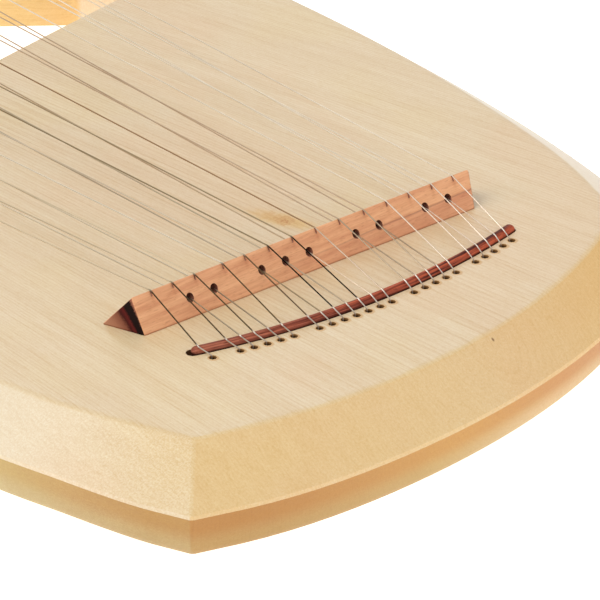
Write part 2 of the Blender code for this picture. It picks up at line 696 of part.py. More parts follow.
def make_frame(materials):
    """Make the soundbox body, the bass arm and the yoke from the blank."""
    wide = FAR_OUT
    half = SEAT_GAP / 2
    arm_side = NUT_BASS_X + CUT_MARGIN
    low, high = -CUT_MARGIN, TOP + CUT_MARGIN
    regions = {
        "soundbox_body": [(-wide, -wide), (-wide, ARM_FOOT_Y - half), (0, ARM_FOOT_Y - half),
                          (0, TREBLE_JOINT_Y - half), (wide, TREBLE_JOINT_Y - half), (wide, -wide)],
        "bass_arm": [(-wide, ARM_FOOT_Y + half), (-wide, ARM_HEAD_Y - half),
                     (arm_side, ARM_HEAD_Y - half), (arm_side, ARM_FOOT_Y + half)],
        "yoke": [(-wide, ARM_HEAD_Y + half), (-wide, wide), (wide, wide), (wide, TREBLE_JOINT_Y + half),
                 (NUT_TREBLE_X, TREBLE_JOINT_Y + half), (arm_side, ARM_HEAD_Y + half)],
    }
    window = add_object("window_cutter", prism("window", window_outline(), low, high))
    mortises = [tenon_mesh(name, centre, SEAT_GAP) for name, centre in tenon_centres()]
    mortise = add_object("mortise_cutter", joined("mortises", mortises))
    pieces = {}
    for name, outline in regions.items():
        piece = add_object(name, blank_mesh(name), materials[name])
        region = add_object(name + "_region", prism(name + "_region", outline, low, high))
        boolean(piece, region, "INTERSECT")
        boolean(piece, window)
        boolean(piece, mortise)
        pieces[name] = piece
    return pieces


def cut_soundbox(body):
    """Hollow the soundbox, and cut its grooves and string holes."""
    hollow = prism("hollow", hollow_outline(0.0), -CUT_MARGIN, TOP - SOUNDBOARD_THICKNESS)
    boolean(body, add_object("hollow_cutter", hollow))
    rebate = prism("rebate", hollow_outline(BACK_PLATE_LIP), -CUT_MARGIN, BACK_PLATE_THICKNESS + SEAT_GAP)
    boolean(body, add_object("rebate_cutter", rebate))
    groove = prism("ball_groove", ball_groove_outline(), -CUT_MARGIN, BALL_GROOVE_DEPTH)
    boolean(body, add_object("ball_groove_cutter", groove))
    points, radii = rounded_rod(RAIL_RADIUS + SEAT_GAP, RAIL_BED_POCKET, SEAT_GAP)
    bed = tube_mesh("rail_bed", points, radii, 2)
    boolean(body, add_object("rail_bed_cutter", bed))
    boolean(body, string_hole_cutter())


def make_back_plate(material):
    """Make the plate that closes the hollow from the back."""
    mesh = prism("back_plate", hollow_outline(BACK_PLATE_LIP - SEAT_GAP), 0, BACK_PLATE_THICKNESS)
    return add_object("back_plate", mesh, material)


def make_brace(name, y, material):
    """Make one brace under the carved top, its ends tapered."""
    half = BRACE_LENGTH / 2
    low_end = BRACE_HEIGHT / 3
    section = [(-half, 0), (half, 0), (half, -low_end), (half - BRACE_TAPER, -BRACE_HEIGHT),
               (-half + BRACE_TAPER, -BRACE_HEIGHT), (-half, -low_end)]
    rings = [[(x, side * BRACE_WIDTH / 2, z) for x, z in section] for side in (-1, 1)]
    height = TOP - SOUNDBOARD_THICKNESS - SEAT_GAP
    return add_object(name, stack(name, rings), material, (0, y, height))


def pin_mesh():
    """Make one tuning pin: a round shank and a square head, its origin on its axis at the yoke's face."""
    sides = 12
    start = radians(15)
    angles = [start + 2 * pi * i / sides for i in range(sides)]

    def round_ring(radius, height):
        return [(radius * cos(a), radius * sin(a), height) for a in angles]

    def square_ring(half_width, height):
        ring = []
        for a in angles:
            reach = half_width / max(abs(cos(a)), abs(sin(a)))
            ring.append((reach * cos(a), reach * sin(a), height))
        return ring

    bottom = PIN_STANDING - PIN_LENGTH
    head = PIN_STANDING - PIN_HEAD_LENGTH
    edge = 0.5 * MM
    rings = [round_ring(PIN_RADIUS - edge, bottom), round_ring(PIN_RADIUS, bottom + edge),
             round_ring(PIN_RADIUS, head - edge), square_ring(PIN_HEAD_HALF_WIDTH, head),
             square_ring(PIN_HEAD_HALF_WIDTH - edge / 2, PIN_STANDING - edge),
             square_ring(PIN_HEAD_HALF_WIDTH - edge, PIN_STANDING)]
    mesh = stack("tuning_pin", rings)
    shade_round(mesh)
    return mesh


def make_pins(yoke, material):
    """Make the tuning pins and their holes in the yoke."""
    mesh = pin_mesh()
    mesh.materials.append(material)
    holes = []
    bottom = TOP + PIN_STANDING - PIN_LENGTH - PIN_HOLE_EXTRA_DEPTH
    for name, natural, _, is_sharp in string_list():
        place = pin_place(natural, is_sharp)
        pin = bpy.data.objects.new(name.replace("string", "pin"), mesh)
        pin.location = (*place, TOP)
        bpy.context.scene.collection.objects.link(pin)
        ends = [Vector((*place, z)) for z in (bottom, TOP + CUT_MARGIN)]
        holes.append(tube_mesh("hole", ends, [PIN_RADIUS + SEAT_GAP] * 2, 4))
    boolean(yoke, add_object("pin_hole_cutter", joined("pin_holes", holes)))


def make_strings(material):
    """Make all strings, each with its ball end and its turns on its pin."""
    gaps = []
    for name, natural, place, is_sharp in string_list():
        points, radii = string_route(natural, place, is_sharp)
        add_object(name, tube_curve(name, points, radii), material)
        gaps.append(least_coil_gap(coil_route(natural, is_sharp), string_radius(natural)))
    print(f"least gap between a string's turns on its pin: {min(gaps) / MM:.2f} mm")


def main():
    """Build the lyre."""
    clear_scene()
    pale_wood = finish("pale_wood", (0.80, 0.66, 0.44), 0.45)
    arm_wood = finish("arm_wood", (0.79, 0.64, 0.42), 0.45)
    yoke_wood = finish("yoke_wood", (0.76, 0.60, 0.38), 0.45)
    back_wood = finish("back_wood", (0.78, 0.64, 0.42), 0.5)
    brace_wood = finish("brace_wood", (0.82, 0.70, 0.50), 0.6)
    bridge_wood = finish("bridge_wood", (0.62, 0.31, 0.19), 0.5)
    dark_wood = finish("dark_wood", (0.16, 0.03, 0.02), 0.35)
    steel = finish("string_steel", (0.62, 0.61, 0.60), 0.25, 1.0)
    pin_steel = finish("pin_steel", (0.55, 0.55, 0.57), 0.3, 1.0)

    woods = {"soundbox_body": pale_wood, "bass_arm": arm_wood, "yoke": yoke_wood}
    frame = make_frame(woods)
    cut_soundbox(frame["soundbox_body"])
    make_back_plate(back_wood)
    make_brace("lower_brace", BRACE_YS[0], brace_wood)
    make_brace("upper_brace", BRACE_YS[1], brace_wood)
    for name, centre in tenon_centres():
        add_object(name + "_tenon", tenon_mesh(name + "_tenon", centre, 0.0), brace_wood)
    make_bridge(bridge_wood)
    make_rail(dark_wood)
    make_nut(dark_wood)
    make_pins(frame["yoke"], pin_steel)
    make_strings(steel)


main()
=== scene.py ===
"""The chromatic lyre as it looks: its woods, strings and tuning pins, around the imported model."""
import logging
from dataclasses import dataclass, field
from enum import Enum
from math import cos, pi, radians, sin, tan

import bmesh
import bpy
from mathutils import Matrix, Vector


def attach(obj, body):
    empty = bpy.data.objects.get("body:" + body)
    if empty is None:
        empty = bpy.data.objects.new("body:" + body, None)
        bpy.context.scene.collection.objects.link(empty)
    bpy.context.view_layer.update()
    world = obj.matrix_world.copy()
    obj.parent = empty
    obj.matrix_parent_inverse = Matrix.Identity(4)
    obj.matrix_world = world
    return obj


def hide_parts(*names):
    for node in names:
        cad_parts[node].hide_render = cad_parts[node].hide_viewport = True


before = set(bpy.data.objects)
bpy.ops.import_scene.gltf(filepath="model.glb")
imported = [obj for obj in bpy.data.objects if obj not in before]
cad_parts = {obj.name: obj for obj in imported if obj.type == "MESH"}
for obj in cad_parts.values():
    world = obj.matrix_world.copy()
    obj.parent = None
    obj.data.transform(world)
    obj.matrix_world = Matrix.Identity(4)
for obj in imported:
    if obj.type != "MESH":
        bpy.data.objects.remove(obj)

log = logging.getLogger("lyre")
Colour = tuple[float, float, float]
MM = 0.001
BODY = "lyre"
TOP = 28.0 * MM
WELD = 0.01 * MM

# The strings' places on the bridge, as in the part's source
NATURALS = 14
NATURAL_PITCH = 9.13 * MM
NOTCH_SHIFTS = {1: 1.1 * MM, 3: -0.75 * MM, 4: 0.75 * MM, 10: 0.5 * MM, 11: 0.35 * MM, 14: -0.6 * MM}
SHARPS_AFTER = (2, 3, 5, 6, 7, 9, 10, 12, 13)
HOLE_ARC_RADIUS = 242.8 * MM
HOLE_ARC_MIDDLE_Y = 207.5 * MM
HOLE_PITCH = 4.5 * MM
HOLES_TO_RAIL = 4.8 * MM
BASS_TAIL_CORNER = (-92.1 * MM, -61.8 * MM)
TREBLE_TAIL_CORNER = (94.9 * MM, -33.9 * MM)


class Run(Enum):
    """Which way a board's grain runs, as the turn that brings it onto +Y."""

    LENGTHWISE = 0.0
    LEANING = radians(-5)
    SLANTED = radians(-52.2)
    ALONG_NUT = radians(37.8)


# Finishes

@dataclass(frozen=True)
class Nodes:
    """A material's node tree, with short ways to add to it."""

    material: bpy.types.Material

    @property
    def tree(self) -> bpy.types.NodeTree:
        """The material's node tree."""
        return self.material.node_tree

    @property
    def shader(self) -> bpy.types.Node:
        """The material's Principled shader."""
        return self.tree.nodes["Principled BSDF"]

    def add(self, kind: str, **settings: object) -> bpy.types.Node:
        """Add a node.

        Args:
            kind: the node's Blender type.
            settings: properties to set on it.

        Returns:
            The new node.
        """
        node = self.tree.nodes.new(kind)
        for name, value in settings.items():
            setattr(node, name, value)
        return node

    def link(self, output: bpy.types.NodeSocket, target: bpy.types.NodeSocket) -> None:
        """Link an output to an input."""
        self.tree.links.new(output, target)

    def feed(self, target: bpy.types.NodeSocket, value: object) -> None:
        """Give an input a link where the value is an output, or else a plain value."""
        if isinstance(value, bpy.types.NodeSocket):
            self.link(value, target)
        else:
            target.default_value = value

    def set(self, **values: float) -> None:
        """Set plain numbers on the shader's own sockets, whose names are given with underscores."""
        for name, value in values.items():
            self.shader.inputs[name.replace("_", " ").title().replace("Ior", "IOR")].default_value = value

    def place(self) -> bpy.types.NodeSocket:
        """Give the object's own coordinates."""
        return self.add("ShaderNodeTexCoord").outputs["Object"]

    def facing(self) -> tuple[bpy.types.NodeSocket, ...]:
        """Give the three parts of the way that the surface faces."""
        return self.split(self.add("ShaderNodeTexCoord").outputs["Normal"])

    def math(self, operation: str, *values: object) -> bpy.types.NodeSocket:
        """Add a Math node.

        Args:
            operation: its operation.
            values: outputs or numbers for its inputs.

        Returns:
            Its output.
        """
        node = self.add("ShaderNodeMath", operation=operation)
        for target, value in zip(node.inputs, values):
            self.feed(target, value)
        return node.outputs[0]

    def total(self, *terms: object) -> bpy.types.NodeSocket:
        """Add up outputs or numbers."""
        result = terms[0]
        for term in terms[1:]:
            result = self.math("ADD", result, term)
        return result

    def product(self, *factors: object) -> bpy.types.NodeSocket:
        """Multiply outputs or numbers."""
        result = factors[0]
        for factor in factors[1:]:
            result = self.math("MULTIPLY", result, factor)
        return result

    def split(self, vector: bpy.types.NodeSocket) -> tuple[bpy.types.NodeSocket, ...]:
        """Give a vector's three parts."""
        node = self.add("ShaderNodeSeparateXYZ")
        self.link(vector, node.inputs[0])
        return tuple(node.outputs)

    def joined(self, *parts: object) -> bpy.types.NodeSocket:
        """Make a vector of three parts."""
        node = self.add("ShaderNodeCombineXYZ")
        for target, value in zip(node.inputs, parts):
            self.feed(target, value)
        return node.outputs[0]

    def turned(self, vector: bpy.types.NodeSocket, turn: float) -> bpy.types.NodeSocket:
        """Turn coordinates about Z."""
        node = self.add("ShaderNodeVectorRotate", rotation_type="Z_AXIS")
        self.link(vector, node.inputs["Vector"])
        node.inputs["Angle"].default_value = turn
        return node.outputs[0]

    def stretched(self, vector: bpy.types.NodeSocket, scale: tuple[float, float, float]) -> bpy.types.NodeSocket:
        """Multiply coordinates, part by part."""
        node = self.add("ShaderNodeVectorMath", operation="MULTIPLY")
        self.link(vector, node.inputs[0])
        node.inputs[1].default_value = scale
        return node.outputs[0]

    def noise(self, vector: bpy.types.NodeSocket, scale: float | tuple[float, float, float],
              detail: float = 3.0, roughness: float = 0.5) -> bpy.types.NodeSocket:
        """Add a Noise texture.

        Args:
            vector: coordinates in metres.
            scale: how many lumps fit in a metre, or that for each axis.
            detail: how many finer layers it has.
            roughness: how strong the finer layers are.

        Returns:
            Its even value, about 0.5.
        """
        node = self.add("ShaderNodeTexNoise")
        if isinstance(scale, tuple):
            vector, scale = self.stretched(vector, scale), 1.0
        self.link(vector, node.inputs["Vector"])
        for name, value in (("Scale", scale), ("Detail", detail), ("Roughness", roughness)):
            node.inputs[name].default_value = value
        return node.outputs["Fac"]

    def ramp(self, value: bpy.types.NodeSocket, low: float, high: float,
             start: float = 0.0, stop: float = 1.0, smooth: bool = False) -> bpy.types.NodeSocket:
        """Map a value's range onto another range, without going past it.

        Args:
            value: the output to map.
            low: the value that gives start.
            high: the value that gives stop.
            start: the result at low.
            stop: the result at high.
            smooth: whether it eases in and out.

        Returns:
            The mapped value.
        """
        node = self.add("ShaderNodeMapRange", interpolation_type="SMOOTHSTEP" if smooth else "LINEAR")
        self.link(value, node.inputs["Value"])
        for name, number in (("From Min", low), ("From Max", high), ("To Min", start), ("To Max", stop)):
            node.inputs[name].default_value = number
        return node.outputs[0]

    def mix(self, share: object, first: object, second: object, blend: str = "MIX") -> bpy.types.NodeSocket:
        """Mix two colours.

        Args:
            share: how much of the second, an output or a number.
            first: a colour or an output.
            second: a colour or an output.
            blend: how they are mixed.

        Returns:
            The mixed colour.
        """
        node = self.add("ShaderNodeMix", data_type="RGBA", blend_type=blend)
        for index, value in ((0, share), (6, first), (7, second)):
            self.feed(node.inputs[index], (*value, 1.0) if isinstance(value, tuple) else value)
        return node.outputs[2]

    def tint(self, colour: object, share: object, shade: Colour) -> bpy.types.NodeSocket:
        """Shade a colour by multiplying it."""
        return self.mix(share, colour, shade, "MULTIPLY")

    def bands(self, value: bpy.types.NodeSocket, stops: tuple[tuple[float, Colour], ...]) -> bpy.types.NodeSocket:
        """Give colours along a value, from stops of a place and its colour."""
        node = self.add("ShaderNodeValToRGB")
        self.link(value, node.inputs[0])
        elements = node.color_ramp.elements
        while len(elements) < len(stops):
            elements.new(1.0)
        for element, (at, colour) in zip(elements, stops):
            element.position = at
            element.color = (*colour, 1.0)
        return node.outputs[0]

    def bump(self, height: bpy.types.NodeSocket, strength: float, distance: float) -> None:
        """Give the shader a bump."""
        node = self.add("ShaderNodeBump")
        self.link(height, node.inputs["Height"])
        node.inputs["Strength"].default_value = strength
        node.inputs["Distance"].default_value = distance
        self.link(node.outputs[0], self.shader.inputs["Normal"])

    def paint(self, colour: bpy.types.NodeSocket) -> None:
        """Give the shader its colour."""
        self.link(colour, self.shader.inputs["Base Color"])


def new_nodes(name: str) -> Nodes:
    """Start a material."""
    material = bpy.data.materials.new(name)
    material.use_nodes = True
    return Nodes(material)


@dataclass(frozen=True)
class Knot:
    """A small knot in the soundboard's face."""

    x: float
    y: float
    half_width: float
    half_length: float
    strength: float


@dataclass(frozen=True)
class PaleWood:
    """Pale close-grained wood under a satin finish, with growth rings round a pith line."""

    name: str
    run: Run = Run.LENGTHWISE
    fan_reach: float = 0.0
    pith_x: float = 0.0
    pith_z: float = -60.0 * MM
    pith_shows: bool = False
    string_holes: bool = False
    knots: tuple[Knot, ...] = ()
    light: Colour = (0.83, 0.675, 0.465)
    dark: Colour = (0.785, 0.61, 0.395)
    late: Colour = (0.90, 0.83, 0.71)
    end_grain: Colour = (0.80, 0.53, 0.225)
    pinkish: Colour = (1.0, 0.965, 0.95)
    yellowish: Colour = (1.0, 0.998, 0.945)
    amber: Colour = (0.58, 0.26, 0.055)
    stain: Colour = (0.64, 0.37, 0.13)
    # Painted shade for the holes' walls, near the top and deep down.
    wall_shade_near_top: Colour = (0.48, 0.24, 0.08)
    wall_shade_deep: Colour = (0.018, 0.007, 0.003)
    # The pale tone painted onto the side bevels as a sheen.
    painted_sheen: Colour = (0.86, 0.77, 0.60)
    ring_factor: float = 0.208
    ring_power: float = 1.25

    def material(self) -> bpy.types.Material:
        """Make the material.

        Returns:
            The finished material.
        """
        nodes = new_nodes(self.name)
        place = nodes.place()
        grain = self.along_grain(nodes, place)
        fibres = nodes.noise(grain, (1700, 95, 1700), 3.0, 0.6)
        specks = nodes.noise(grain, (2600, 420, 2600), 2.0, 0.55)
        streaks = nodes.noise(grain, (260, 9, 260), 3.0, 0.55)
        clouds = nodes.noise(place, 16.0, 2.0)
        rings = nodes.product(self.rings(nodes, grain), self.by_slope(nodes, 0.28, 0.26, 0.75))
        flecks = nodes.noise(place, 1900.0, 2.0, 0.6)
        threads = nodes.noise(grain, (1150, 26, 1150), 2.0, 0.5)
        colour = nodes.mix(nodes.ramp(streaks, 0.30, 0.70), self.light, self.dark)
        colour = nodes.mix(self.end_share(nodes, clouds), colour, self.end_grain)
        colour = nodes.tint(colour, rings, self.late)
        colour = nodes.tint(colour, nodes.ramp(fibres, 0.42, 0.66), (0.96, 0.935, 0.88))
        colour = nodes.tint(colour, nodes.ramp(specks, 0.50, 0.66), (0.965, 0.935, 0.87))
        thread_share = nodes.product(nodes.ramp(threads, 0.55, 0.66), self.by_slope(nodes, 0.25, 0.2, 0.65))
        colour = nodes.tint(colour, thread_share, (0.945, 0.895, 0.80))
        fleck_share = nodes.product(nodes.ramp(flecks, 0.46, 0.60), self.by_slope(nodes, 1.0, 0.25, 0.45))
        colour = nodes.tint(colour, fleck_share, (0.95, 0.905, 0.80))
        # Painted glints: pale specks, mostly on the side bevels, for the sparkle of the finish.
        painted_glints = nodes.product(nodes.ramp(flecks, 0.46, 0.34), self.by_slope(nodes, 0.3, 0.1, 0.1))
        colour = nodes.mix(painted_glints, colour, (0.92, 0.86, 0.70))
        from_corner = self.from_corner(nodes, place)
        # Painted sheen: a pale gloss tone mixed onto the side bevels, more of it further from the bass tail corner.
        painted_sheen_share = nodes.product(self.by_slope(nodes, 1.0, 0.0, 0.0), nodes.ramp(from_corner, 0.0, 90 * MM, 0.0, 0.55))
        colour = nodes.mix(painted_sheen_share, colour, self.painted_sheen)
        far_end = nodes.product(self.by_slope(nodes, 0.0, 1.0, 0.0), nodes.ramp(from_corner, 110 * MM, 195 * MM))
        colour = nodes.tint(colour, far_end, (1.02, 0.91, 0.58))
        colour = nodes.tint(colour, nodes.ramp(clouds, 0.52, 0.62), self.pinkish)
        colour = nodes.tint(colour, nodes.ramp(clouds, 0.48, 0.38), self.yellowish)
        colour = self.edge_warmth(nodes, colour)
        colour = self.facet_shade(nodes, colour, place, from_corner)
        if self.string_holes:
            colour = self.hole_shade(nodes, colour, place)
        for knot in self.knots:
            colour = self.knotted(nodes, colour, place, knot)
        if self.pith_shows:
            colour = self.pithed(nodes, colour, grain)
        nodes.paint(colour)
        nodes.link(nodes.ramp(fibres, 0.3, 0.7, 0.42, 0.52), nodes.shader.inputs["Roughness"])
        nodes.set(coat_weight=0.22, coat_roughness=0.28)
        nodes.bump(nodes.math("SUBTRACT", fibres, nodes.product(specks, 0.6)), 0.10, 0.08 * MM)
        return nodes.material

    def along_grain(self, nodes: Nodes, place: bpy.types.NodeSocket) -> bpy.types.NodeSocket:
        """Give coordinates whose second axis runs along the grain.

        Args:
            nodes: the material's nodes.
            place: the object's own coordinates.

        Returns:
            The turned or fanned coordinates, from the pith line.
        """
        x, y, z = nodes.split(nodes.turned(place, self.run.value))
        across = nodes.math("SUBTRACT", x, self.pith_x)
        if self.fan_reach:
            closing = nodes.math("SUBTRACT", 1.0, nodes.math("DIVIDE", y, self.fan_reach))
            across = nodes.math("DIVIDE", across, closing)
        return nodes.joined(across, y, nodes.math("SUBTRACT", z, self.pith_z))

    def rings(self, nodes: Nodes, grain: bpy.types.NodeSocket) -> bpy.types.NodeSocket:
        """Give the dark late wood of the growth rings, which stand closer further out."""
        across, _, up = nodes.split(grain)
        wander = nodes.math("SUBTRACT", nodes.noise(grain, (22, 2.2, 22), 2.0), 0.5)
        wobble = nodes.math("SUBTRACT", nodes.noise(grain, (140, 9, 140), 2.0), 0.5)
        squared = nodes.total(nodes.product(across, across), nodes.product(up, up))
        radius = nodes.total(nodes.product(nodes.math("SQRT", squared), 1 / MM),
                             nodes.product(wander, 9.0), nodes.product(wobble, 0.9))
        radius = nodes.math("MAXIMUM", radius, 0.0)
        years = nodes.product(nodes.math("POWER", radius, self.ring_power), self.ring_factor)
        share = nodes.math("FRACT", years)
        late = nodes.product(nodes.ramp(share, 0.45, 0.90, smooth=True), nodes.ramp(share, 1.0, 0.93))
        year = nodes.add("ShaderNodeTexWhiteNoise", noise_dimensions="1D")
        nodes.link(nodes.math("FLOOR", years), year.inputs["W"])
        return nodes.product(late, nodes.ramp(year.outputs["Value"], 0.0, 1.0, 0.35, 1.0))

    def by_slope(self, nodes: Nodes, on_sides: float, on_ends: float, on_top: float) -> bpy.types.NodeSocket:
        """Give a number of its own to the side bevels, the end bevels and the level faces."""
        _, along, up = nodes.facing()
        on_slopes = nodes.ramp(nodes.math("ABSOLUTE", along), 0.25, 0.5, on_sides, on_ends)
        level = nodes.ramp(up, 0.85, 0.99)
        return nodes.total(nodes.product(on_slopes, nodes.math("SUBTRACT", 1.0, level)),
                           nodes.product(level, on_top))

    def end_share(self, nodes: Nodes, clouds: bpy.types.NodeSocket) -> bpy.types.NodeSocket:
        """Give how much end grain shows, from how far a face looks along the grain."""
        facing = nodes.turned(nodes.add("ShaderNodeTexCoord").outputs["Normal"], self.run.value)
        _, along, _ = nodes.split(facing)
        looks_along = nodes.ramp(nodes.math("ABSOLUTE", along), 0.25, 0.70, 0.0, 0.75, True)
        return nodes.product(looks_along, nodes.ramp(clouds, 0.3, 0.7, 0.85, 1.1))

    def facet_shade(self, nodes: Nodes, colour: bpy.types.NodeSocket, place: bpy.types.NodeSocket,
                    from_corner: bpy.types.NodeSocket) -> bpy.types.NodeSocket:
        """Paint shade on the downward-facing undercut facet, darkest near the bass tail corner and lighter towards its
        foot; the tail's facet is tinted more orange, where end grain shows.
        """
        _, _, up = nodes.facing()
        _, _, z = nodes.split(place)
        undercut = nodes.product(nodes.ramp(up, -0.05, -0.25), nodes.ramp(up, -0.80, -0.60))
        share = nodes.product(from_corner, 1 / (160 * MM))
        upper = nodes.bands(share, ((0.0, (0.50, 0.275, 0.028)), (0.5, (0.65, 0.56, 0.25)), (1.0, (0.60, 0.44, 0.11))))
        at_tail = nodes.product(self.by_slope(nodes, 0.0, 1.0, 0.0), nodes.ramp(from_corner, 0.0, 80 * MM))
        upper = nodes.tint(upper, at_tail, (1.03, 0.81, 0.40))
        lower = nodes.bands(share, ((0.0, (0.55, 0.44, 0.215)), (0.45, (0.66, 0.61, 0.39)),
                                    (0.75, (0.83, 0.82, 0.76)), (1.0, (0.77, 0.75, 0.72))))
        # Painted shade: the undercut facet's colour is multiplied by these shade tones.
        undercut_shade = nodes.mix(nodes.ramp(z, 11 * MM, 3 * MM, smooth=True), upper, lower)
        return nodes.mix(undercut, colour, undercut_shade, "MULTIPLY")

    def from_corner(self, nodes: Nodes, place: bpy.types.NodeSocket) -> bpy.types.NodeSocket:
        """Give how far a point is from the bass tail corner, seen from above."""
        x, y, _ = nodes.split(place)
        off = [nodes.math("SUBTRACT", along, corner) for along, corner in zip((x, y), BASS_TAIL_CORNER)]
        return nodes.math("SQRT", nodes.total(*(nodes.product(part, part) for part in off)))

    def hole_shade(self, nodes: Nodes, colour: bpy.types.NodeSocket,
                   place: bpy.types.NodeSocket) -> bpy.types.NodeSocket:
        """Paint shade on the string holes' walls, darker deeper down, stain the wood round their rims, and paint shade
        into the groove beyond the rail's end.
        """
        x, y, z = nodes.split(place)
        back = nodes.math("SUBTRACT", HOLE_ARC_MIDDLE_Y, y)
        reach = nodes.math("SQRT", nodes.total(nodes.product(x, x), nodes.product(back, back)))
        beside = nodes.math("SUBTRACT", reach, HOLE_ARC_RADIUS)
        steps = nodes.product(nodes.math("ARCTAN2", x, back), HOLE_ARC_RADIUS / HOLE_PITCH)
        nearest = nodes.math("ROUND", steps)
        along = nodes.product(nodes.math("SUBTRACT", steps, nearest), HOLE_PITCH)
        squared = nodes.total(nodes.product(along, along), nodes.product(beside, beside))
        distance = nodes.math("SQRT", squared)
        drilled = nodes.ramp(nodes.math("ABSOLUTE", steps), NATURALS - 0.5, NATURALS - 0.6)
        for after in range(1, NATURALS):
            if after not in SHARPS_AFTER:
                undrilled = nodes.math("COMPARE", nearest, 2 * after - NATURALS, 0.5)
                drilled = nodes.math("MAXIMUM", nodes.math("SUBTRACT", drilled, undrilled), 0.0)
        below = nodes.ramp(z, TOP - 0.02 * MM, TOP - 0.06 * MM)
        worn = nodes.math("SUBTRACT", beside, 0.35 * MM)
        worn_squared = nodes.total(nodes.product(along, along), nodes.product(worn, worn))
        rim = nodes.product(drilled, nodes.ramp(nodes.math("SQRT", worn_squared), 1.95 * MM, 1.45 * MM), 0.8)
        colour = nodes.mix(nodes.product(rim, nodes.ramp(z, TOP - 0.5 * MM, TOP - 0.1 * MM)), colour, self.stain)
        # Painted shade: the holes' walls go from amber near the top to near black deeper down.
        depth = nodes.ramp(z, TOP - 0.2 * MM, TOP - 1.2 * MM)
        walls = nodes.mix(depth, self.wall_shade_near_top, self.wall_shade_deep)
        in_hole = nodes.product(drilled, nodes.ramp(distance, 1.45 * MM, 1.35 * MM), below)
        colour = nodes.mix(in_hole, colour, walls)
        # Painted shade: the rail's groove, where it shows beyond the rail's end, is darkened to a deep brown.
        off_rail = nodes.math("ABSOLUTE", nodes.total(beside, HOLES_TO_RAIL))
        in_groove = nodes.product(nodes.ramp(off_rail, 2.7 * MM, 2.4 * MM), below,
                                  nodes.ramp(nodes.math("ABSOLUTE", x), 72 * MM, 70 * MM))
        return nodes.mix(in_groove, colour, (0.13, 0.055, 0.018))

    def edge_warmth(self, nodes: Nodes, colour: bpy.types.NodeSocket) -> bpy.types.NodeSocket:
        """Warm the rounded edge between the top and the bevel to a yellower tone."""
        _, along, up = nodes.facing()
        on_edge = nodes.product(nodes.ramp(up, 0.80, 0.87), nodes.ramp(up, 0.992, 0.96))
        warm_edge_share = nodes.product(on_edge, nodes.ramp(nodes.math("ABSOLUTE", along), 0.08, 0.25, 0.25, 0.8))
        return nodes.tint(colour, warm_edge_share, (1.0, 0.93, 0.74))

    def knotted(self, nodes: Nodes, colour: bpy.types.NodeSocket, place: bpy.types.NodeSocket,
                knot: Knot) -> bpy.types.NodeSocket:
        """Stain the wood round a knot, with curled lines in it."""
        x, y, z = nodes.split(place)
        swirl = nodes.product(nodes.math("SUBTRACT", nodes.noise(place, 380.0, 3.0, 0.65), 0.5), 3.2)
        across = nodes.product(nodes.math("SUBTRACT", x, knot.x), 1 / knot.half_width)
        along = nodes.product(nodes.math("SUBTRACT", y, knot.y), 1 / knot.half_length)
        squared = nodes.total(nodes.product(across, across), nodes.product(along, along))
        distance = nodes.total(nodes.math("SQRT", squared), swirl)
        on_top = nodes.ramp(z, TOP - 0.5 * MM, TOP - 0.1 * MM)
        curls = nodes.ramp(nodes.math("SINE", nodes.product(distance, 7.0)), -0.6, 0.8, 0.30, 1.0)
        stain = nodes.product(nodes.ramp(distance, 1.8, 0.4, smooth=True), curls, on_top, knot.strength)
        leant = nodes.total(nodes.product(across, 1 / 2.4), nodes.product(along, 0.18))
        far = nodes.product(along, 1 / 4.6)
        spread = nodes.math("SQRT", nodes.total(nodes.product(leant, leant), nodes.product(far, far)))
        spread = nodes.total(spread, nodes.product(swirl, 0.25))
        halo = nodes.product(nodes.ramp(spread, 1.35, 0.35, smooth=True), on_top, 0.9 * knot.strength)
        colour = nodes.tint(colour, halo, (0.965, 0.85, 0.56))
        return nodes.mix(stain, colour, self.amber)

    def pithed(self, nodes: Nodes, colour: bpy.types.NodeSocket, grain: bpy.types.NodeSocket) -> bpy.types.NodeSocket:
        """Darken the pith itself."""
        across, _, up = nodes.split(grain)
        squared = nodes.total(nodes.product(across, across), nodes.product(up, up))
        return nodes.mix(nodes.ramp(nodes.math("SQRT", squared), 0.50 * MM, 0.20 * MM), colour, (0.30, 0.15, 0.06))


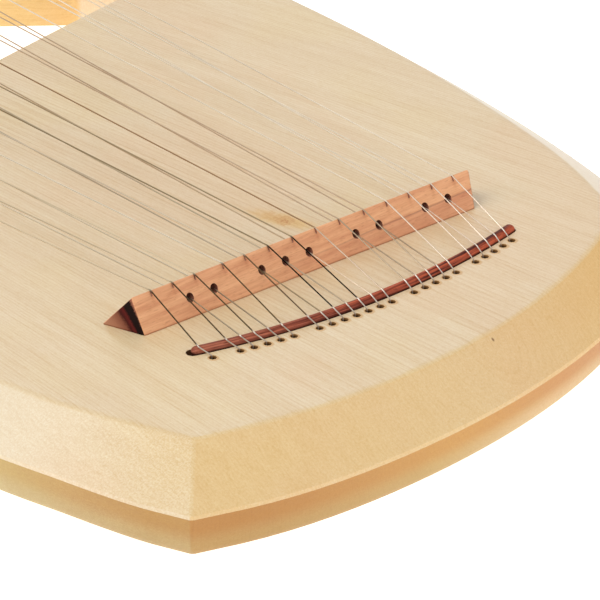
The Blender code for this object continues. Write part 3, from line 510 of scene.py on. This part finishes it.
@dataclass(frozen=True)
class RosyWood:
    """Salmon brown wood with converging darker streaks, and dark ends of high polish, with a painted highlight along
    one edge: the bridge.
    """

    name: str = "bridge_rosy_wood"
    light: Colour = (0.93, 0.505, 0.27)
    dark: Colour = (0.78, 0.36, 0.19)
    heart: Colour = (0.60, 0.235, 0.145)
    roughness: float = 0.42
    streak_height: float = 4.2 * MM
    streak_slope: float = 0.018

    def material(self) -> bpy.types.Material:
        """Make the material.

        Returns:
            The finished material.
        """
        nodes = new_nodes(self.name)
        place = nodes.place()
        x, y, z = nodes.split(place)
        above = nodes.math("SUBTRACT", z, TOP)
        wander = nodes.product(nodes.math("SUBTRACT", nodes.noise(place, (26, 60, 200), 2.0), 0.5), 2.4 * MM)
        line = nodes.total(self.streak_height, nodes.product(x, self.streak_slope), wander)
        over_line = nodes.math("SUBTRACT", above, line)
        leant = nodes.joined(x, y, nodes.math("SUBTRACT", above, nodes.product(x, self.streak_slope * 2)))
        streaks = nodes.noise(leant, (30, 420, 620), 4.0, 0.6)
        fine = nodes.noise(leant, (170, 1900, 2300), 3.0, 0.6)
        pores = nodes.ramp(nodes.noise(place, (520, 2600, 2600), 1.0), 0.62, 0.70)
        colour = nodes.mix(nodes.ramp(streaks, 0.38, 0.68), self.light, self.dark)
        below = nodes.product(nodes.ramp(over_line, 0.25 * MM, -0.25 * MM),
                              nodes.ramp(x, -30 * MM, 40 * MM, 0.04, 0.30))
        colour = nodes.mix(below, colour, self.heart)
        on_line = nodes.product(nodes.ramp(nodes.math("ABSOLUTE", over_line), 0.40 * MM, 0.05 * MM),
                                nodes.ramp(x, -20 * MM, 30 * MM, 0.0, 0.42))
        colour = nodes.mix(on_line, colour, (0.25, 0.075, 0.055))
        colour = nodes.tint(colour, nodes.ramp(fine, 0.42, 0.68, 0.0, 0.8), (0.88, 0.80, 0.74))
        colour = nodes.tint(colour, nodes.product(pores, 0.3), (0.62, 0.45, 0.40))
        colour = nodes.tint(colour, self.marks_under_kerfs(nodes, x, above), (0.72, 0.56, 0.48))
        colour = nodes.mix(self.end_share(nodes), colour, self.end_colour(nodes, y, above, fine))
        # Painted shadow: a dark line along the bar's foot, where it meets the top.
        colour = nodes.tint(colour, nodes.ramp(above, 0.50 * MM, 0.15 * MM, 0.0, 0.8), (0.46, 0.32, 0.22))
        nodes.paint(colour)
        nodes.link(nodes.ramp(streaks, 0.3, 0.7, self.roughness, self.roughness + 0.1),
                   nodes.shader.inputs["Roughness"])
        nodes.set(specular_ior_level=0.12)
        nodes.bump(nodes.math("SUBTRACT", fine, pores), 0.12, 0.08 * MM)
        return nodes.material

    def marks_under_kerfs(self, nodes: Nodes, x: bpy.types.NodeSocket,
                     above: bpy.types.NodeSocket) -> bpy.types.NodeSocket:
        """Give the dark marks on the tail face under the naturals' kerfs."""
        marks = 0.0
        for natural in range(1, NATURALS + 1):
            off = nodes.math("ABSOLUTE", nodes.math("SUBTRACT", x, crossing_x(natural)))
            marks = nodes.math("MAXIMUM", nodes.ramp(off, 1.0 * MM, 0.1 * MM), marks)
        return nodes.product(marks, nodes.ramp(above, 6.0 * MM, 9.5 * MM), 0.6)

    def end_share(self, nodes: Nodes) -> bpy.types.NodeSocket:
        """Give where the bar's ends are."""
        out, _, _ = nodes.facing()
        return nodes.ramp(nodes.math("ABSOLUTE", out), 0.62, 0.82)

    def end_colour(self, nodes: Nodes, y: bpy.types.NodeSocket, above: bpy.types.NodeSocket,
                   fine: bpy.types.NodeSocket) -> bpy.types.NodeSocket:
        """Colour an end by streaks that run along its tail-side edge, nearly black beside it, with a painted highlight
        on the edge itself.
        """
        from_edge = nodes.total(y, 5.4 * MM, nodes.product(above, -5.4 / 10.8), nodes.product(fine, 1.6 * MM))
        share = nodes.product(from_edge, nodes.ramp(above, 0.0, 10.8 * MM, 1.25 / (16.0 * MM), 0.55 / (16.0 * MM)))
        # The first, salmon band is a painted highlight along the tail-side edge.
        return nodes.bands(share, ((0.05, (0.42, 0.16, 0.10)), (0.09, (0.010, 0.003, 0.003)),
                                   (0.23, (0.012, 0.003, 0.003)), (0.28, (0.13, 0.014, 0.012)),
                                   (0.38, (0.060, 0.009, 0.008)), (0.48, (0.25, 0.085, 0.050)),
                                   (0.72, (0.42, 0.180, 0.105)), (1.0, (0.52, 0.250, 0.150))))


@dataclass(frozen=True)
class CutWood:
    """Dark wood inside the bridge's saw kerfs and holes: the wood's cut colour, darkened further as painted shade."""

    name: str = "bridge_cut_wood"
    rim: Colour = (0.58, 0.24, 0.14)
    deep: Colour = (0.16, 0.050, 0.034)

    def material(self) -> bpy.types.Material:
        """Make the material.

        Returns:
            The finished material.
        """
        nodes = new_nodes(self.name)
        place = nodes.place()
        rough = nodes.noise(place, (1600, 1600, 1600), 3.0, 0.6)
        # Painted shade: the cuts are coloured dark all over, standing for the shade inside them.
        nodes.paint(nodes.mix(nodes.ramp(rough, 0.30, 0.62), self.rim, self.deep))
        nodes.link(nodes.ramp(rough, 0.3, 0.7, 0.7, 0.9), nodes.shader.inputs["Roughness"])
        nodes.bump(rough, 0.3, 0.1 * MM)
        return nodes.material


@dataclass(frozen=True)
class DarkWood:
    """Dark red-brown glossy wood, whose lines follow the rail's arc."""

    name: str = "rail_rosewood"
    light: Colour = (0.60, 0.125, 0.058)
    dark: Colour = (0.085, 0.015, 0.010)
    bass_light: Colour = (0.50, 0.165, 0.095)
    bass_dark: Colour = (0.20, 0.045, 0.028)
    arc_middle_y: float = 207.5 * MM

    def material(self) -> bpy.types.Material:
        """Make the material.

        Returns:
            The finished material.
        """
        nodes = new_nodes(self.name)
        x, y, z = nodes.split(nodes.place())
        back = nodes.math("SUBTRACT", self.arc_middle_y, y)
        reach = nodes.math("SQRT", nodes.total(nodes.product(x, x), nodes.product(back, back)))
        along = nodes.product(nodes.math("ARCTAN2", x, back), self.arc_middle_y)
        grain = nodes.joined(reach, along, z)
        lines = nodes.noise(grain, (1700, 40, 1700), 3.0, 0.6)
        patches = nodes.noise(grain, (420, 18, 420), 3.0, 0.6)
        pores = nodes.ramp(nodes.noise(grain, (4200, 300, 4200), 1.0), 0.62, 0.70)
        depth = nodes.total(nodes.product(lines, 0.5), nodes.product(patches, 0.5))
        bass_share = nodes.ramp(x, 0.0, -50 * MM)
        light = nodes.mix(bass_share, self.light, self.bass_light)
        dark = nodes.mix(bass_share, self.dark, self.bass_dark)
        colour = nodes.mix(nodes.ramp(depth, 0.42, 0.60), light, dark)
        colour = nodes.mix(nodes.product(pores, 0.6), colour, (0.015, 0.004, 0.004))
        # Painted shade: the rod darkens to near black along its foot, where it meets the top.
        nodes.paint(nodes.mix(nodes.ramp(z, TOP + 0.7 * MM, TOP + 0.1 * MM, 0.0, 0.9), colour, (0.02, 0.005, 0.004)))
        nodes.link(nodes.ramp(lines, 0.3, 0.7, 0.32, 0.46), nodes.shader.inputs["Roughness"])
        nodes.set(specular_ior_level=0.10)
        nodes.bump(nodes.math("SUBTRACT", lines, pores), 0.12, 0.05 * MM)
        return nodes.material


@dataclass(frozen=True)
class NutWood:
    """The bridge's wood with plain lengthwise streaks: the nut bar."""

    name: str = "nut_rosy_wood"
    light: Colour = (0.64, 0.32, 0.19)
    dark: Colour = (0.40, 0.15, 0.09)

    def material(self) -> bpy.types.Material:
        """Make the material.

        Returns:
            The finished material.
        """
        nodes = new_nodes(self.name)
        grain = nodes.turned(nodes.place(), Run.ALONG_NUT.value + radians(90))
        streaks = nodes.noise(grain, (420, 22, 420), 4.0, 0.6)
        fine = nodes.noise(grain, (2200, 150, 2200), 3.0, 0.6)
        colour = nodes.mix(nodes.ramp(streaks, 0.38, 0.68), self.light, self.dark)
        nodes.paint(nodes.tint(colour, nodes.ramp(fine, 0.42, 0.68), (0.85, 0.76, 0.70)))
        nodes.link(nodes.ramp(fine, 0.3, 0.7, 0.42, 0.54), nodes.shader.inputs["Roughness"])
        nodes.set(coat_weight=0.15, coat_roughness=0.2)
        nodes.bump(fine, 0.12, 0.08 * MM)
        return nodes.material


@dataclass(frozen=True)
class StringMetal:
    """Drawn string metal: its colour over the body, a tone of its own tailward of the bridge, painted for how the light
    falls there, and a painted highlight over the rail.
    """

    name: str
    speaking: Colour
    tail: Colour
    roughness: float = 0.42
    # The painted highlight from the rail's crest down to the hole.
    polished: Colour = (0.74, 0.66, 0.57)

    def material(self) -> bpy.types.Material:
        """Make the material.

        Returns:
            The finished material.
        """
        nodes = new_nodes(self.name)
        place = nodes.place()
        x, y, _ = nodes.split(place)
        tarnish = nodes.noise(place, (90, 22, 90), 2.0)
        back = nodes.math("SUBTRACT", HOLE_ARC_MIDDLE_Y, y)
        reach = nodes.math("SQRT", nodes.total(nodes.product(x, x), nodes.product(back, back)))
        # Painted light and shade: tailward of the bridge the same metal takes another tone, for the other slant at
        # which the light meets it; from the rail's crest to the hole it takes a painted highlight.
        colour = nodes.mix(nodes.ramp(y, 1.0 * MM, -1.0 * MM), self.speaking, self.tail)
        colour = nodes.mix(nodes.ramp(reach, HOLE_ARC_RADIUS - 5.2 * MM, HOLE_ARC_RADIUS - 4.4 * MM), colour, self.polished)
        nodes.paint(nodes.tint(colour, nodes.ramp(tarnish, 0.35, 0.65, 0.0, 0.7), (0.80, 0.78, 0.76)))
        nodes.link(nodes.ramp(tarnish, 0.3, 0.7, self.roughness, self.roughness + 0.1),
                   nodes.shader.inputs["Roughness"])
        nodes.set(metallic=1.0)
        return nodes.material


@dataclass(frozen=True)
class PinSteel:
    """Plated pin steel, brushed round, with a fine thread near the wood."""

    name: str = "pin_steel"
    bright: Colour = (0.66, 0.66, 0.68)
    dull: Colour = (0.48, 0.48, 0.51)
    thread_pitch: float = 0.5 * MM
    thread_top: float = TOP + 4.0 * MM

    def material(self) -> bpy.types.Material:
        """Make the material.

        Returns:
            The finished material.
        """
        nodes = new_nodes(self.name)
        place = nodes.place()
        _, _, z = nodes.split(place)
        brushed = nodes.noise(place, (260, 260, 5200), 2.0, 0.6)
        tarnish = nodes.noise(place, 160.0, 3.0)
        wave = nodes.math("SINE", nodes.product(z, 2 * pi / self.thread_pitch))
        thread = nodes.product(wave, nodes.ramp(z, self.thread_top + 0.4 * MM, self.thread_top))
        colour = nodes.mix(nodes.ramp(tarnish, 0.35, 0.65), self.bright, self.dull)
        # Painted shade: the thread's grooves are darkened as well as bumped.
        nodes.paint(nodes.tint(colour, nodes.ramp(thread, 0.0, -1.0, 0.0, 0.8), (0.45, 0.43, 0.42)))
        nodes.link(nodes.ramp(brushed, 0.3, 0.7, 0.22, 0.36), nodes.shader.inputs["Roughness"])
        nodes.set(metallic=1.0)
        nodes.bump(nodes.total(nodes.product(thread, 2.0), brushed), 0.25, 0.06 * MM)
        return nodes.material


# Pieces

def add_piece(name: str, mesh: bpy.types.Mesh, stands_for: str,
              material: bpy.types.Material) -> bpy.types.Object:
    """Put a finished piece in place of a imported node.

    Args:
        name: the piece's name.
        mesh: its mesh, in the frame's coordinates.
        stands_for: the node that it replaces.
        material: its finish.

    Returns:
        The piece.
    """
    if not mesh.materials:
        mesh.materials.append(material)
    piece = bpy.data.objects.new(name, mesh)
    bpy.context.scene.collection.objects.link(piece)
    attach(piece, stands_for if "_pin_" in stands_for else BODY)
    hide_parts(stands_for)
    log.info("made %s in %s, for %s", name, material.name, stands_for)
    return piece


def shade_evenly(piece: bpy.types.Object, crease: float) -> None:
    """Shade a piece smooth, creased at its sharper edges, with its flat faces kept flat."""
    piece.data.shade_smooth()
    piece.data.set_sharp_from_angle(angle=crease)
    even = piece.modifiers.new("even_shading", "WEIGHTED_NORMAL")
    even.keep_sharp = True


def skin_mesh(node: str) -> bpy.types.Mesh:
    """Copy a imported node's faces as one welded skin."""
    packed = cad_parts[node].data
    mesh = bpy.data.meshes.new(f"{node}_skin")
    mesh.from_pydata([point.co for point in packed.vertices], [], [face.vertices[:] for face in packed.polygons])
    work = bmesh.new()
    work.from_mesh(mesh)
    bmesh.ops.remove_doubles(work, verts=work.verts, dist=WELD)
    bmesh.ops.dissolve_degenerate(work, edges=work.edges, dist=WELD)
    work.to_mesh(mesh)
    work.free()
    return mesh


def skin(node: str, material: bpy.types.Material, crease: float = radians(28)) -> bpy.types.Object:
    """Replace a node by its own smoothly shaded skin.

    Args:
        node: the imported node.
        material: its finish.
        crease: faces that meet at more than this angle keep a sharp edge.

    Returns:
        The piece.
    """
    piece = add_piece(f"{node}_finished", skin_mesh(node), node, material)
    shade_evenly(piece, crease)
    return piece


def dress(node: str, material: bpy.types.Material) -> None:
    """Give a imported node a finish."""
    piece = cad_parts[node]
    if piece.material_slots:
        for slot in piece.material_slots:
            slot.material = material
    else:
        piece.data.materials.append(material)
    log.info("dressed %s in %s", node, material.name)


def add_cutter(name: str, meshes: list[bpy.types.Mesh]) -> bpy.types.Object:
    """Put meshes together as one cutter, whose cuts take the second finish of what it cuts."""
    work = bmesh.new()
    for mesh in meshes:
        work.from_mesh(mesh)
    for face in work.faces:
        face.material_index = 1
    joined = bpy.data.meshes.new(name)
    work.to_mesh(joined)
    work.free()
    cutter = bpy.data.objects.new(name, joined)
    bpy.context.scene.collection.objects.link(cutter)
    return cutter


def cut_mesh(mesh: bpy.types.Mesh, cutter: bpy.types.Object) -> bpy.types.Mesh:
    """Cut a mesh with a cutter, and give the result as a mesh of its own."""
    blank = bpy.data.objects.new("blank", mesh)
    bpy.context.scene.collection.objects.link(blank)
    cut = blank.modifiers.new("cut", "BOOLEAN")
    cut.operation = "DIFFERENCE"
    cut.solver = "EXACT"
    cut.object = cutter
    result = bpy.data.meshes.new_from_object(blank.evaluated_get(bpy.context.evaluated_depsgraph_get()))
    for used in (blank, cutter):
        bpy.data.objects.remove(used, do_unlink=True)
    return result


def loft(name: str, rings: list[list[tuple[float, float, float]]]) -> bpy.types.Mesh:
    """Close a stack of rings of the same number of points into a solid mesh.

    Args:
        name: the mesh's name.
        rings: the rings' points.

    Returns:
        The mesh, with its faces turned outwards.
    """
    count = len(rings[0])
    faces = [tuple(range(count)), tuple((len(rings) - 1) * count + i for i in range(count))]
    for level in range(len(rings) - 1):
        for i in range(count):
            after = (i + 1) % count
            low, high = level * count, (level + 1) * count
            faces.append((low + i, low + after, high + after, high + i))
    mesh = bpy.data.meshes.new(name)
    mesh.from_pydata([point for ring in rings for point in ring], [], faces)
    work = bmesh.new()
    work.from_mesh(mesh)
    bmesh.ops.recalc_face_normals(work, faces=work.faces)
    work.to_mesh(mesh)
    work.free()
    return mesh


def crossing_x(natural: float) -> float:
    """Give where a string crosses the bridge; halves are sharps."""
    return (natural - (NATURALS + 1) / 2) * NATURAL_PITCH + NOTCH_SHIFTS.get(natural, 0.0)


@dataclass
class Soundbox:
    """The carved body with its tail corners softened, and the back plate."""

    board: PaleWood = PaleWood(
        "soundbox_maple", Run.LEANING, fan_reach=0.80, pith_x=7.4 * MM, pith_z=26.4 * MM, pith_shows=True,
        string_holes=True,
        knots=(Knot(14.4 * MM, 25.0 * MM, 1.9 * MM, 2.4 * MM, 1.0),
               Knot(13.4 * MM, 29.6 * MM, 1.7 * MM, 2.4 * MM, 0.55)))
    tail_corners: tuple[tuple[float, float], ...] = (BASS_TAIL_CORNER, TREBLE_TAIL_CORNER)
    corner_reach: float = 32.0 * MM
    corner_softness: float = 0.8 * MM

    def build(self) -> None:
        """Build the body and the back plate."""
        wood = self.board.material()
        mesh = skin_mesh("soundbox_body")
        self.soften_corners(mesh)
        body = add_piece("soundbox_body_finished", mesh, "soundbox_body", wood)
        shade_evenly(body, radians(28))
        skin("back_plate", wood)

    def soften_corners(self, mesh: bpy.types.Mesh) -> None:
        """Round the upright edges at the two tail corners."""
        work = bmesh.new()
        work.from_mesh(mesh)
        work.normal_update()
        edges = [edge for edge in work.edges if self.is_corner_edge(edge)]
        log.info("softening %d corner edges", len(edges))
        bmesh.ops.bevel(work, geom=edges, offset=self.corner_softness, offset_type="OFFSET",
                        segments=3, profile=0.5, affect="EDGES")
        work.to_mesh(mesh)
        work.free()

    def is_corner_edge(self, edge: bmesh.types.BMEdge) -> bool:
        """Tell whether an edge is an upright one at a tail corner."""
        if len(edge.link_faces) != 2:
            return False
        near = any(all((Vector(corner) - end.co.xy).length < self.corner_reach for end in edge.verts)
                   for corner in self.tail_corners)
        ways = [face.normal.xy for face in edge.link_faces]
        leaning = all(abs(face.normal.z) < 0.95 for face in edge.link_faces)
        steep = abs(edge.verts[0].co.z - edge.verts[1].co.z) > 0.5 * MM
        return near and leaning and steep and ways[0].angle(ways[1]) > radians(25)


@dataclass
class WoodenFrame:
    """Arm, yoke and nut, and the plain pieces inside."""

    arm: PaleWood = PaleWood("arm_maple", pith_x=-60 * MM, pith_z=-40 * MM)
    yoke: PaleWood = PaleWood("yoke_maple", Run.SLANTED, pith_x=-180 * MM, pith_z=-30 * MM)
    nut: NutWood = NutWood()
    inside: tuple[str, ...] = ("lower_brace", "upper_brace", "arm_foot_tenon", "arm_head_tenon", "treble_tenon")

    def build(self) -> None:
        """Build the frame's pieces."""
        arm = self.arm.material()
        skin("bass_arm", arm)
        skin("yoke", self.yoke.material())
        skin("nut_bar", self.nut.material())
        for node in self.inside:
            dress(node, arm)


@dataclass
class Bridge:
    """The bridge: a bar with a rounded ridge, saw kerfs for the naturals and holes for the sharps."""

    half_length: float = 65.45 * MM
    front: float = 5.4 * MM
    back: float = 8.9 * MM
    height: float = 10.8 * MM
    ridge_softness: float = 0.45 * MM
    foot_softness: float = 0.15 * MM
    end_rings: tuple[tuple[float, float], ...] = ((0.0, 0.9), (0.25, 0.35), (0.8, 0.0))
    end_skew: float = radians(18)
    bass_flare: float = 1.1 * MM
    kerf_width: float = 0.55 * MM
    kerf_shift: float = -0.1 * MM
    kerf_floor: float = 10.45 * MM
    kerf_side: tuple[tuple[float, float], ...] = ((-0.05, 10.45), (-0.33, 9.9), (-0.72, 9.1), (-3.0, 9.1), (-3.0, 14.0))
    hole_radius: float = 1.35 * MM
    hole_sides: int = 32
    hole_height: float = 5.23 * MM
    wood: RosyWood = RosyWood()
    cuts: CutWood = CutWood()

    def build(self) -> None:
        """Build the bridge."""
        wood, bar = self.wood.material(), self.bar()
        for finish in (wood, self.cuts.material()):
            bar.materials.append(finish)
        mesh = cut_mesh(bar, add_cutter("bridge_cuts", self.kerfs() + self.holes()))
        piece = add_piece("bridge_finished", mesh, "bridge", wood)
        shade_evenly(piece, radians(32))

    def section(self) -> list[tuple[float, float]]:
        """Give the bar's section as points along and up, with its three corners rounded."""
        corners = ((-self.front, 0.0, self.foot_softness), (0.0, self.height, self.ridge_softness),
                   (self.back, 0.0, self.foot_softness))
        points = []
        for i, (y, z, softness) in enumerate(corners):
            here = Vector((y, z))
            before = here + (Vector(corners[i - 1][:2]) - here).normalized() * softness
            after = here + (Vector(corners[(i + 1) % 3][:2]) - here).normalized() * softness
            for u in (0.0, 0.25, 0.5, 0.75, 1.0):
                points.append((before * (1 - u) ** 2 + here * (2 * u * (1 - u)) + after * u ** 2)[:])
        return points

    def bar(self) -> bpy.types.Mesh:
        """Make the bar with skewed ends, rounded over by rings that shrink as they near the end."""
        rings = []
        for side, flare in ((-1, self.bass_flare), (1, 0.0)):
            for inset, drop in self.end_rings[::-side]:
                size = 1 - drop * MM / self.height
                ring = []
                for y, z in self.section():
                    reach = self.half_length - inset * MM + y * tan(self.end_skew) + flare * (1 - z / self.height)
                    ring.append((side * reach, y * size, TOP + z * size))
                rings.append(ring)
        return loft("bridge_bar", rings)

    def kerfs(self) -> list[bpy.types.Mesh]:
        """Make the cutters of the naturals' saw kerfs, which dive down the tail face."""
        side = [(3.0 * MM, TOP + self.kerf_floor), *((y * MM, TOP + z * MM) for y, z in self.kerf_side),
                (3.0 * MM, TOP + 14.0 * MM)]
        made = []
        for natural in range(1, NATURALS + 1):
            x = crossing_x(natural) + self.kerf_shift
            faces = [x - self.kerf_width / 2, x + self.kerf_width / 2]
            made.append(loft("kerf", [[(face, y, z) for y, z in side] for face in faces]))
        return made

    def holes(self) -> list[bpy.types.Mesh]:
        """Make the cutters of the sharps' holes."""
        turns = [2 * pi * step / self.hole_sides for step in range(self.hole_sides)]
        made = []
        for after in SHARPS_AFTER:
            x = crossing_x(after + 0.5)
            rings = [[(x + self.hole_radius * cos(turn), y, TOP + self.hole_height + self.hole_radius * sin(turn))
                      for turn in turns] for y in (-9 * MM, 12 * MM)]
            made.append(loft("hole", rings))
        return made


@dataclass
class Rail:
    """The round string rail, bent to an arc and half let into the top."""

    holes_arc: float = 242.8 * MM
    arc_middle_y: float = 207.5 * MM
    to_holes: float = 4.8 * MM
    slant: float = 1.5 * MM
    radius: float = 1.8 * MM
    bass_reach: float = (58.5 + 4.6) * MM
    treble_reach: float = (58.5 + 7.0) * MM
    sides: int = 24
    steps: int = 90
    end_turns: tuple[float, ...] = (8, 20, 35, 50, 65, 80)
    wood: DarkWood = DarkWood()

    def build(self) -> None:
        """Build the rail."""
        mesh = loft("rail_rod", self.rings())
        piece = add_piece("string_rail_finished", mesh, "string_rail", self.wood.material())
        shade_evenly(piece, radians(50))

    def rings(self) -> list[list[tuple[float, float, float]]]:
        """Give the rings round the rail's middle line, drawn in at its rounded ends."""
        first, last = -self.bass_reach / self.holes_arc, self.treble_reach / self.holes_arc
        dome = self.radius / self.holes_arc
        places = [(first + dome * (1 - cos(radians(turn))), sin(radians(turn))) for turn in self.end_turns]
        straight = last - first - 2 * dome
        places += [(first + dome + straight * step / self.steps, 1.0) for step in range(self.steps + 1)]
        places += [(last - dome * (1 - cos(radians(turn))), sin(radians(turn))) for turn in reversed(self.end_turns)]
        return [self.ring(angle, share * self.radius) for angle, share in places]

    def ring(self, angle: float, radius: float) -> list[tuple[float, float, float]]:
        """Give one ring's points.

        Args:
            angle: its place on the arc.
            radius: its own radius.

        Returns:
            Its points.
        """
        reach = self.holes_arc - self.to_holes + self.slant * angle
        points = []
        for step in range(self.sides):
            turn = 2 * pi * step / self.sides
            out = reach + radius * cos(turn)
            points.append((out * sin(angle), self.arc_middle_y - out * cos(angle), TOP + radius * sin(turn)))
        return points


@dataclass
class Strings:
    """The strings, each group in its own metal."""

    metals: dict[StringMetal, tuple[str, ...]] = field(default_factory=lambda: {
        StringMetal("ash_steel", (0.74, 0.61, 0.42), (0.10, 0.065, 0.032)):
            ("natural_string_01", "natural_string_02", "natural_string_03"),
        StringMetal("ash_steel_pale", (0.78, 0.68, 0.52), (0.42, 0.34, 0.24)):
            ("sharp_string_01", "sharp_string_02"),
        StringMetal("pale_steel", (0.90, 0.81, 0.66), (0.12, 0.075, 0.035)): ("natural_string_04",),
        StringMetal("olive_bronze", (0.72, 0.60, 0.44), (0.15, 0.09, 0.045)): ("natural_string_05",),
        StringMetal("olive_bronze_pale", (0.54, 0.43, 0.30), (0.40, 0.30, 0.18)): ("sharp_string_03",),
        StringMetal("umber_bronze", (0.33, 0.24, 0.13), (0.008, 0.004, 0.002)): ("natural_string_06",),
        StringMetal("umber_bronze_pale", (0.58, 0.47, 0.32), (0.56, 0.45, 0.32)): ("sharp_string_04",),
        StringMetal("brown_bronze", (0.42, 0.31, 0.18), (0.014, 0.006, 0.002)): ("natural_string_07",),
        StringMetal("brown_bronze_pale", (0.60, 0.44, 0.28), (0.84, 0.69, 0.52)): ("sharp_string_05",),
        StringMetal("red_copper", (0.40, 0.225, 0.105), (0.64, 0.50, 0.37)): ("natural_string_08",),
        StringMetal("salmon_copper", (0.62, 0.45, 0.30), (0.46, 0.35, 0.24)):
            ("natural_string_09", "natural_string_10", "sharp_string_06", "sharp_string_07"),
        StringMetal("bright_steel", (0.92, 0.82, 0.67), (0.82, 0.69, 0.56), 0.45):
            ("natural_string_11", "natural_string_12", "natural_string_13", "natural_string_14",
             "sharp_string_08", "sharp_string_09"),
    })

    def build(self) -> None:
        """Build the strings."""
        for metal, nodes in self.metals.items():
            material = metal.material()
            for node in nodes:
                skin(node, material, radians(60))


@dataclass
class Pins:
    """The tuning pins."""

    steel: PinSteel = PinSteel()

    def build(self) -> None:
        """Build the pins."""
        material = self.steel.material()
        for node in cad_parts:
            if "_pin_" in node:
                skin(node, material, radians(35))


@dataclass
class Studio:
    """Floor, light and the photograph's camera."""

    camera_place: tuple[float, float, float] = (-1.0588, -1.2599, 0.8774)
    turn: float = radians(40.01)
    dip: float = radians(27.63)
    lens: float = 372.96
    floor_colour: Colour = (0.80, 0.80, 0.80)
    floor_glow: float = 0.70
    floor_half_width: float = 4.0
    sky: float = 0.47
    lamps: tuple[tuple[str, tuple[float, float, float], float, float], ...] = (
        ("key_light", (-1.1, 0.3, 1.3), 15.8, 1.25),
        ("fill_light", (1.0, -1.6, 0.9), 13.4, 1.6),
        ("back_light", (1.2, 1.4, 1.0), 5.2, 1.4))

    def build(self) -> None:
        """Build the studio."""
        self.add_floor()
        self.add_lights()
        self.add_camera()

    def add_floor(self) -> None:
        """Lay the plain pale floor."""
        reach = self.floor_half_width
        mesh = bpy.data.meshes.new("floor")
        corners = [(-reach, -reach), (reach, -reach), (reach, reach), (-reach, reach)]
        mesh.from_pydata([(x, y, -0.5 * MM) for x, y in corners], [], [(0, 1, 2, 3)])
        floor = bpy.data.objects.new("floor", mesh)
        bpy.context.scene.collection.objects.link(floor)
        nodes = new_nodes("floor_paper")
        nodes.shader.inputs["Base Color"].default_value = (*self.floor_colour, 1.0)
        nodes.shader.inputs["Emission Color"].default_value = (1.0, 1.0, 1.0, 1.0)
        nodes.set(roughness=0.9, emission_strength=self.floor_glow)
        mesh.materials.append(nodes.material)

    def add_lights(self) -> None:
        """Hang the soft lamps and an even sky."""
        for name, place, power, size in self.lamps:
            light = bpy.data.lights.new(name, "AREA")
            light.energy = power
            light.size = size
            lamp = bpy.data.objects.new(name, light)
            lamp.location = place
            lamp.rotation_euler = (-Vector(place)).to_track_quat("-Z", "Y").to_euler()
            bpy.context.scene.collection.objects.link(lamp)
        world = bpy.data.worlds.new("studio")
        world.use_nodes = True
        world.node_tree.nodes["Background"].inputs["Color"].default_value = (1, 1, 1, 1)
        world.node_tree.nodes["Background"].inputs["Strength"].default_value = self.sky
        bpy.context.scene.world = world

    def add_camera(self) -> None:
        """Set up the camera at the photograph's place and angle."""
        data = bpy.data.cameras.new("camera")
        data.lens = self.lens
        data.clip_end = 20.0
        camera = bpy.data.objects.new("camera", data)
        camera.location = self.camera_place
        ahead = Vector((sin(self.turn) * cos(self.dip), cos(self.turn) * cos(self.dip), -sin(self.dip)))
        camera.rotation_euler = ahead.to_track_quat("-Z", "Y").to_euler()
        bpy.context.scene.collection.objects.link(camera)
        bpy.context.scene.camera = camera


def main() -> None:
    """Build the whole picture."""
    logging.basicConfig(level=logging.INFO, format="%(name)s: %(message)s")
    bpy.context.scene.view_settings.view_transform = "Standard"
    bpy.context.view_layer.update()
    Soundbox().build()
    WoodenFrame().build()
    Bridge().build()
    Rail().build()
    Strings().build()
    Pins().build()
    Studio().build()


if __name__ == "__main__":
    main()
